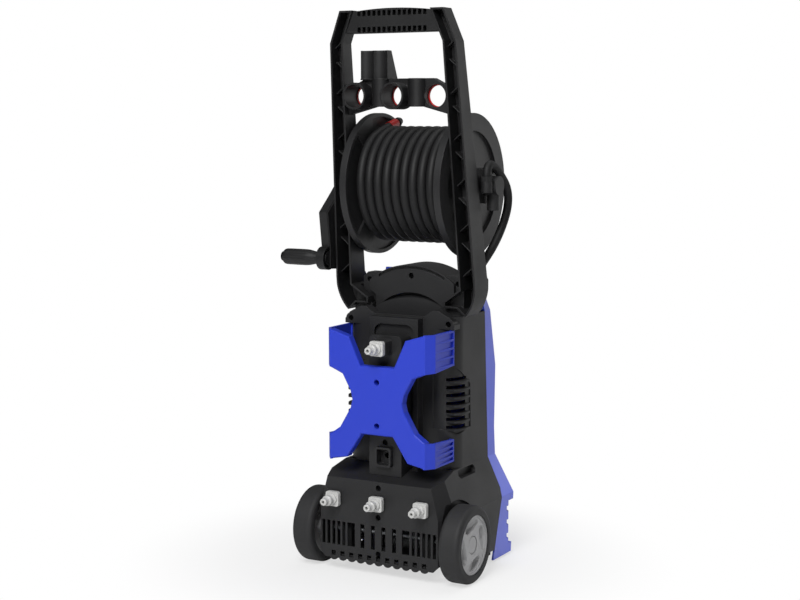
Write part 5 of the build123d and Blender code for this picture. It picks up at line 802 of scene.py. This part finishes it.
# %% Caps on the axle
CAP_R = 13.0
CAP_LENGTH = 7.0
CAP_STEPS = 12
CAP_SEGMENTS = 64
low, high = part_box("axle_caps")
cap_middle = middle("axle_caps")
mesh = bmesh.new()
for end_x, outward in ((low[0], -1), (high[0], 1)):
    profile = [(end_x - outward * CAP_LENGTH * MM, CAP_R * MM, 0)]
    for index in range(CAP_STEPS):
        radius = CAP_R * (1 - index / CAP_STEPS)
        profile.append((end_x - outward * dish_depth(radius) * MM, radius * MM, 0))
    turned(mesh, profile, cap_middle.y, cap_middle.z, CAP_SEGMENTS)
caps = piece_of("dished_caps", mesh, finishes["wheel_plastic"])
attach(caps, "machine")
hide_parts("axle_caps")
print("cap faces", len(caps.data.polygons))

# %% [markdown]
# ## Floor, surround and light
# In the picture the machine stands on plain white. Its rear faces are almost black while its right side
# is greyer, because black plastic shows mostly what it mirrors: the dim room behind the camera on the
# rear, the bright backdrop on the side. So the surround is white to the camera, but it lights the
# machine like such a studio, bright beyond it and dim behind the camera.

# %% Surround
ROOM_LIGHT = 0.14
MIRRORED_ROOM = 0.06
MIRRORED_BACKDROP = 0.26
BACKDROP_EDGE = 0.2  # cosine at which the backdrop begins
toward_backdrop = Vector((0.30, 0.95, 0.10)).normalized()
world = bpy.data.worlds.new("studio")
scene.world = world
scene.view_settings.view_transform = "Standard"
world.use_nodes = True
tree = world.node_tree
tree.nodes.clear()
ray = node(tree, "ShaderNodeTexCoord")
toward = node(tree, "ShaderNodeVectorMath", operation="DOT_PRODUCT", links={0: ray.outputs["Generated"]},
              values={1: toward_backdrop})
glow = node(tree, "ShaderNodeMapRange", links={"Value": toward.outputs["Value"]},
            values={"From Min": BACKDROP_EDGE, "From Max": 1.0,
                    "To Min": MIRRORED_ROOM, "To Max": MIRRORED_BACKDROP})
light_path = node(tree, "ShaderNodeLightPath")
level = node(tree, "ShaderNodeMix", data_type="FLOAT", values={"A": ROOM_LIGHT},
             links={"Factor": light_path.outputs["Is Glossy Ray"], "B": glow.outputs[0]})
around = node(tree, "ShaderNodeBackground", links={"Strength": level.outputs["Result"]},
              values={"Color": (1, 1, 1, 1)})
white = node(tree, "ShaderNodeBackground", values={"Color": (1, 1, 1, 1), "Strength": 1.0})
seen = node(tree, "ShaderNodeMath", operation="MAXIMUM",
            links={0: light_path.outputs["Is Camera Ray"], 1: light_path.outputs["Is Transmission Ray"]})
studio = node(tree, "ShaderNodeMixShader",
              links={0: seen.outputs[0], 1: around.outputs[0], 2: white.outputs[0]})
node(tree, "ShaderNodeOutputWorld", links={"Surface": studio.outputs[0]})
print("backdrop towards", [round(c, 2) for c in toward_backdrop])

# %% [markdown]
# The floor is pale and matt near the machine, where its shadow falls, and fades to the white of the
# surround further out, so that no horizon shows.

# %% Floor
FLOOR_HALF = 6.0
SHADOW_NEAR = 0.18
SHADOW_FAR = 0.46
SHADOW_PALE = 0.62
floor_mesh = bpy.data.meshes.new("floor")
floor_mesh.from_pydata([(-FLOOR_HALF, -FLOOR_HALF, 0), (FLOOR_HALF, -FLOOR_HALF, 0),
                        (FLOOR_HALF, FLOOR_HALF, 0), (-FLOOR_HALF, FLOOR_HALF, 0)], [], [(0, 1, 2, 3)])
floor = bpy.data.objects.new("floor", floor_mesh)
scene.collection.objects.link(floor)
paint = bpy.data.materials.new("matt_white_floor")
paint.use_nodes = True
tree = paint.node_tree
tree.nodes.clear()
place = node(tree, "ShaderNodeTexCoord").outputs["Object"]
distance = node(tree, "ShaderNodeVectorMath", operation="LENGTH", links={0: place})
fade = node(tree, "ShaderNodeMapRange", interpolation_type="SMOOTHSTEP",
            links={"Value": distance.outputs["Value"]},
            values={"From Min": SHADOW_NEAR, "From Max": SHADOW_FAR, "To Min": SHADOW_PALE})
light_path = node(tree, "ShaderNodeLightPath")
faded = node(tree, "ShaderNodeMath", operation="MULTIPLY",
             links={0: fade.outputs[0], 1: light_path.outputs["Is Camera Ray"]})
matt = node(tree, "ShaderNodeBsdfDiffuse", values={"Color": srgb("#f4f4f4")})
white = node(tree, "ShaderNodeEmission", values={"Strength": 1.0})
mixed = node(tree, "ShaderNodeMixShader",
             links={0: faded.outputs[0], 1: matt.outputs[0], 2: white.outputs[0]})
node(tree, "ShaderNodeOutputMaterial", links={"Surface": mixed.outputs[0]})
floor_mesh.materials.append(paint)
print("floor", 2 * FLOOR_HALF, "m wide")


# %% [markdown]
# The main lamp is large and high on the camera's own side, so the blue rear face is lit more strongly
# than the faces that turn right. A large low lamp beyond the machine on the right draws the grey sheen
# along the casing's side, and one above it the highlights along the hose.


# %% Lamps
def soft_lamp(name, azimuth, elevation, distance, size, power):
    """Square area lamp that looks at the middle of the machine."""
    data = bpy.data.lights.new(name, "AREA")
    data.size = size
    data.energy = power
    lamp = bpy.data.objects.new(name, data)
    toward_lamp = direction(math.radians(azimuth), math.radians(elevation))
    lamp.location = aim + toward_lamp * distance
    lamp.rotation_euler = (-toward_lamp).to_track_quat("-Z", "Y").to_euler()
    scene.collection.objects.link(lamp)


soft_lamp("main", azimuth=10, elevation=40, distance=3.2, size=1.5, power=92)
soft_lamp("side", azimuth=158, elevation=10, distance=2.8, size=1.8, power=7)
soft_lamp("above", azimuth=150, elevation=75, distance=2.4, size=1.6, power=15)
print("lamps", len(bpy.data.lights))

# %% Sizes and end
bpy.context.view_layer.update()
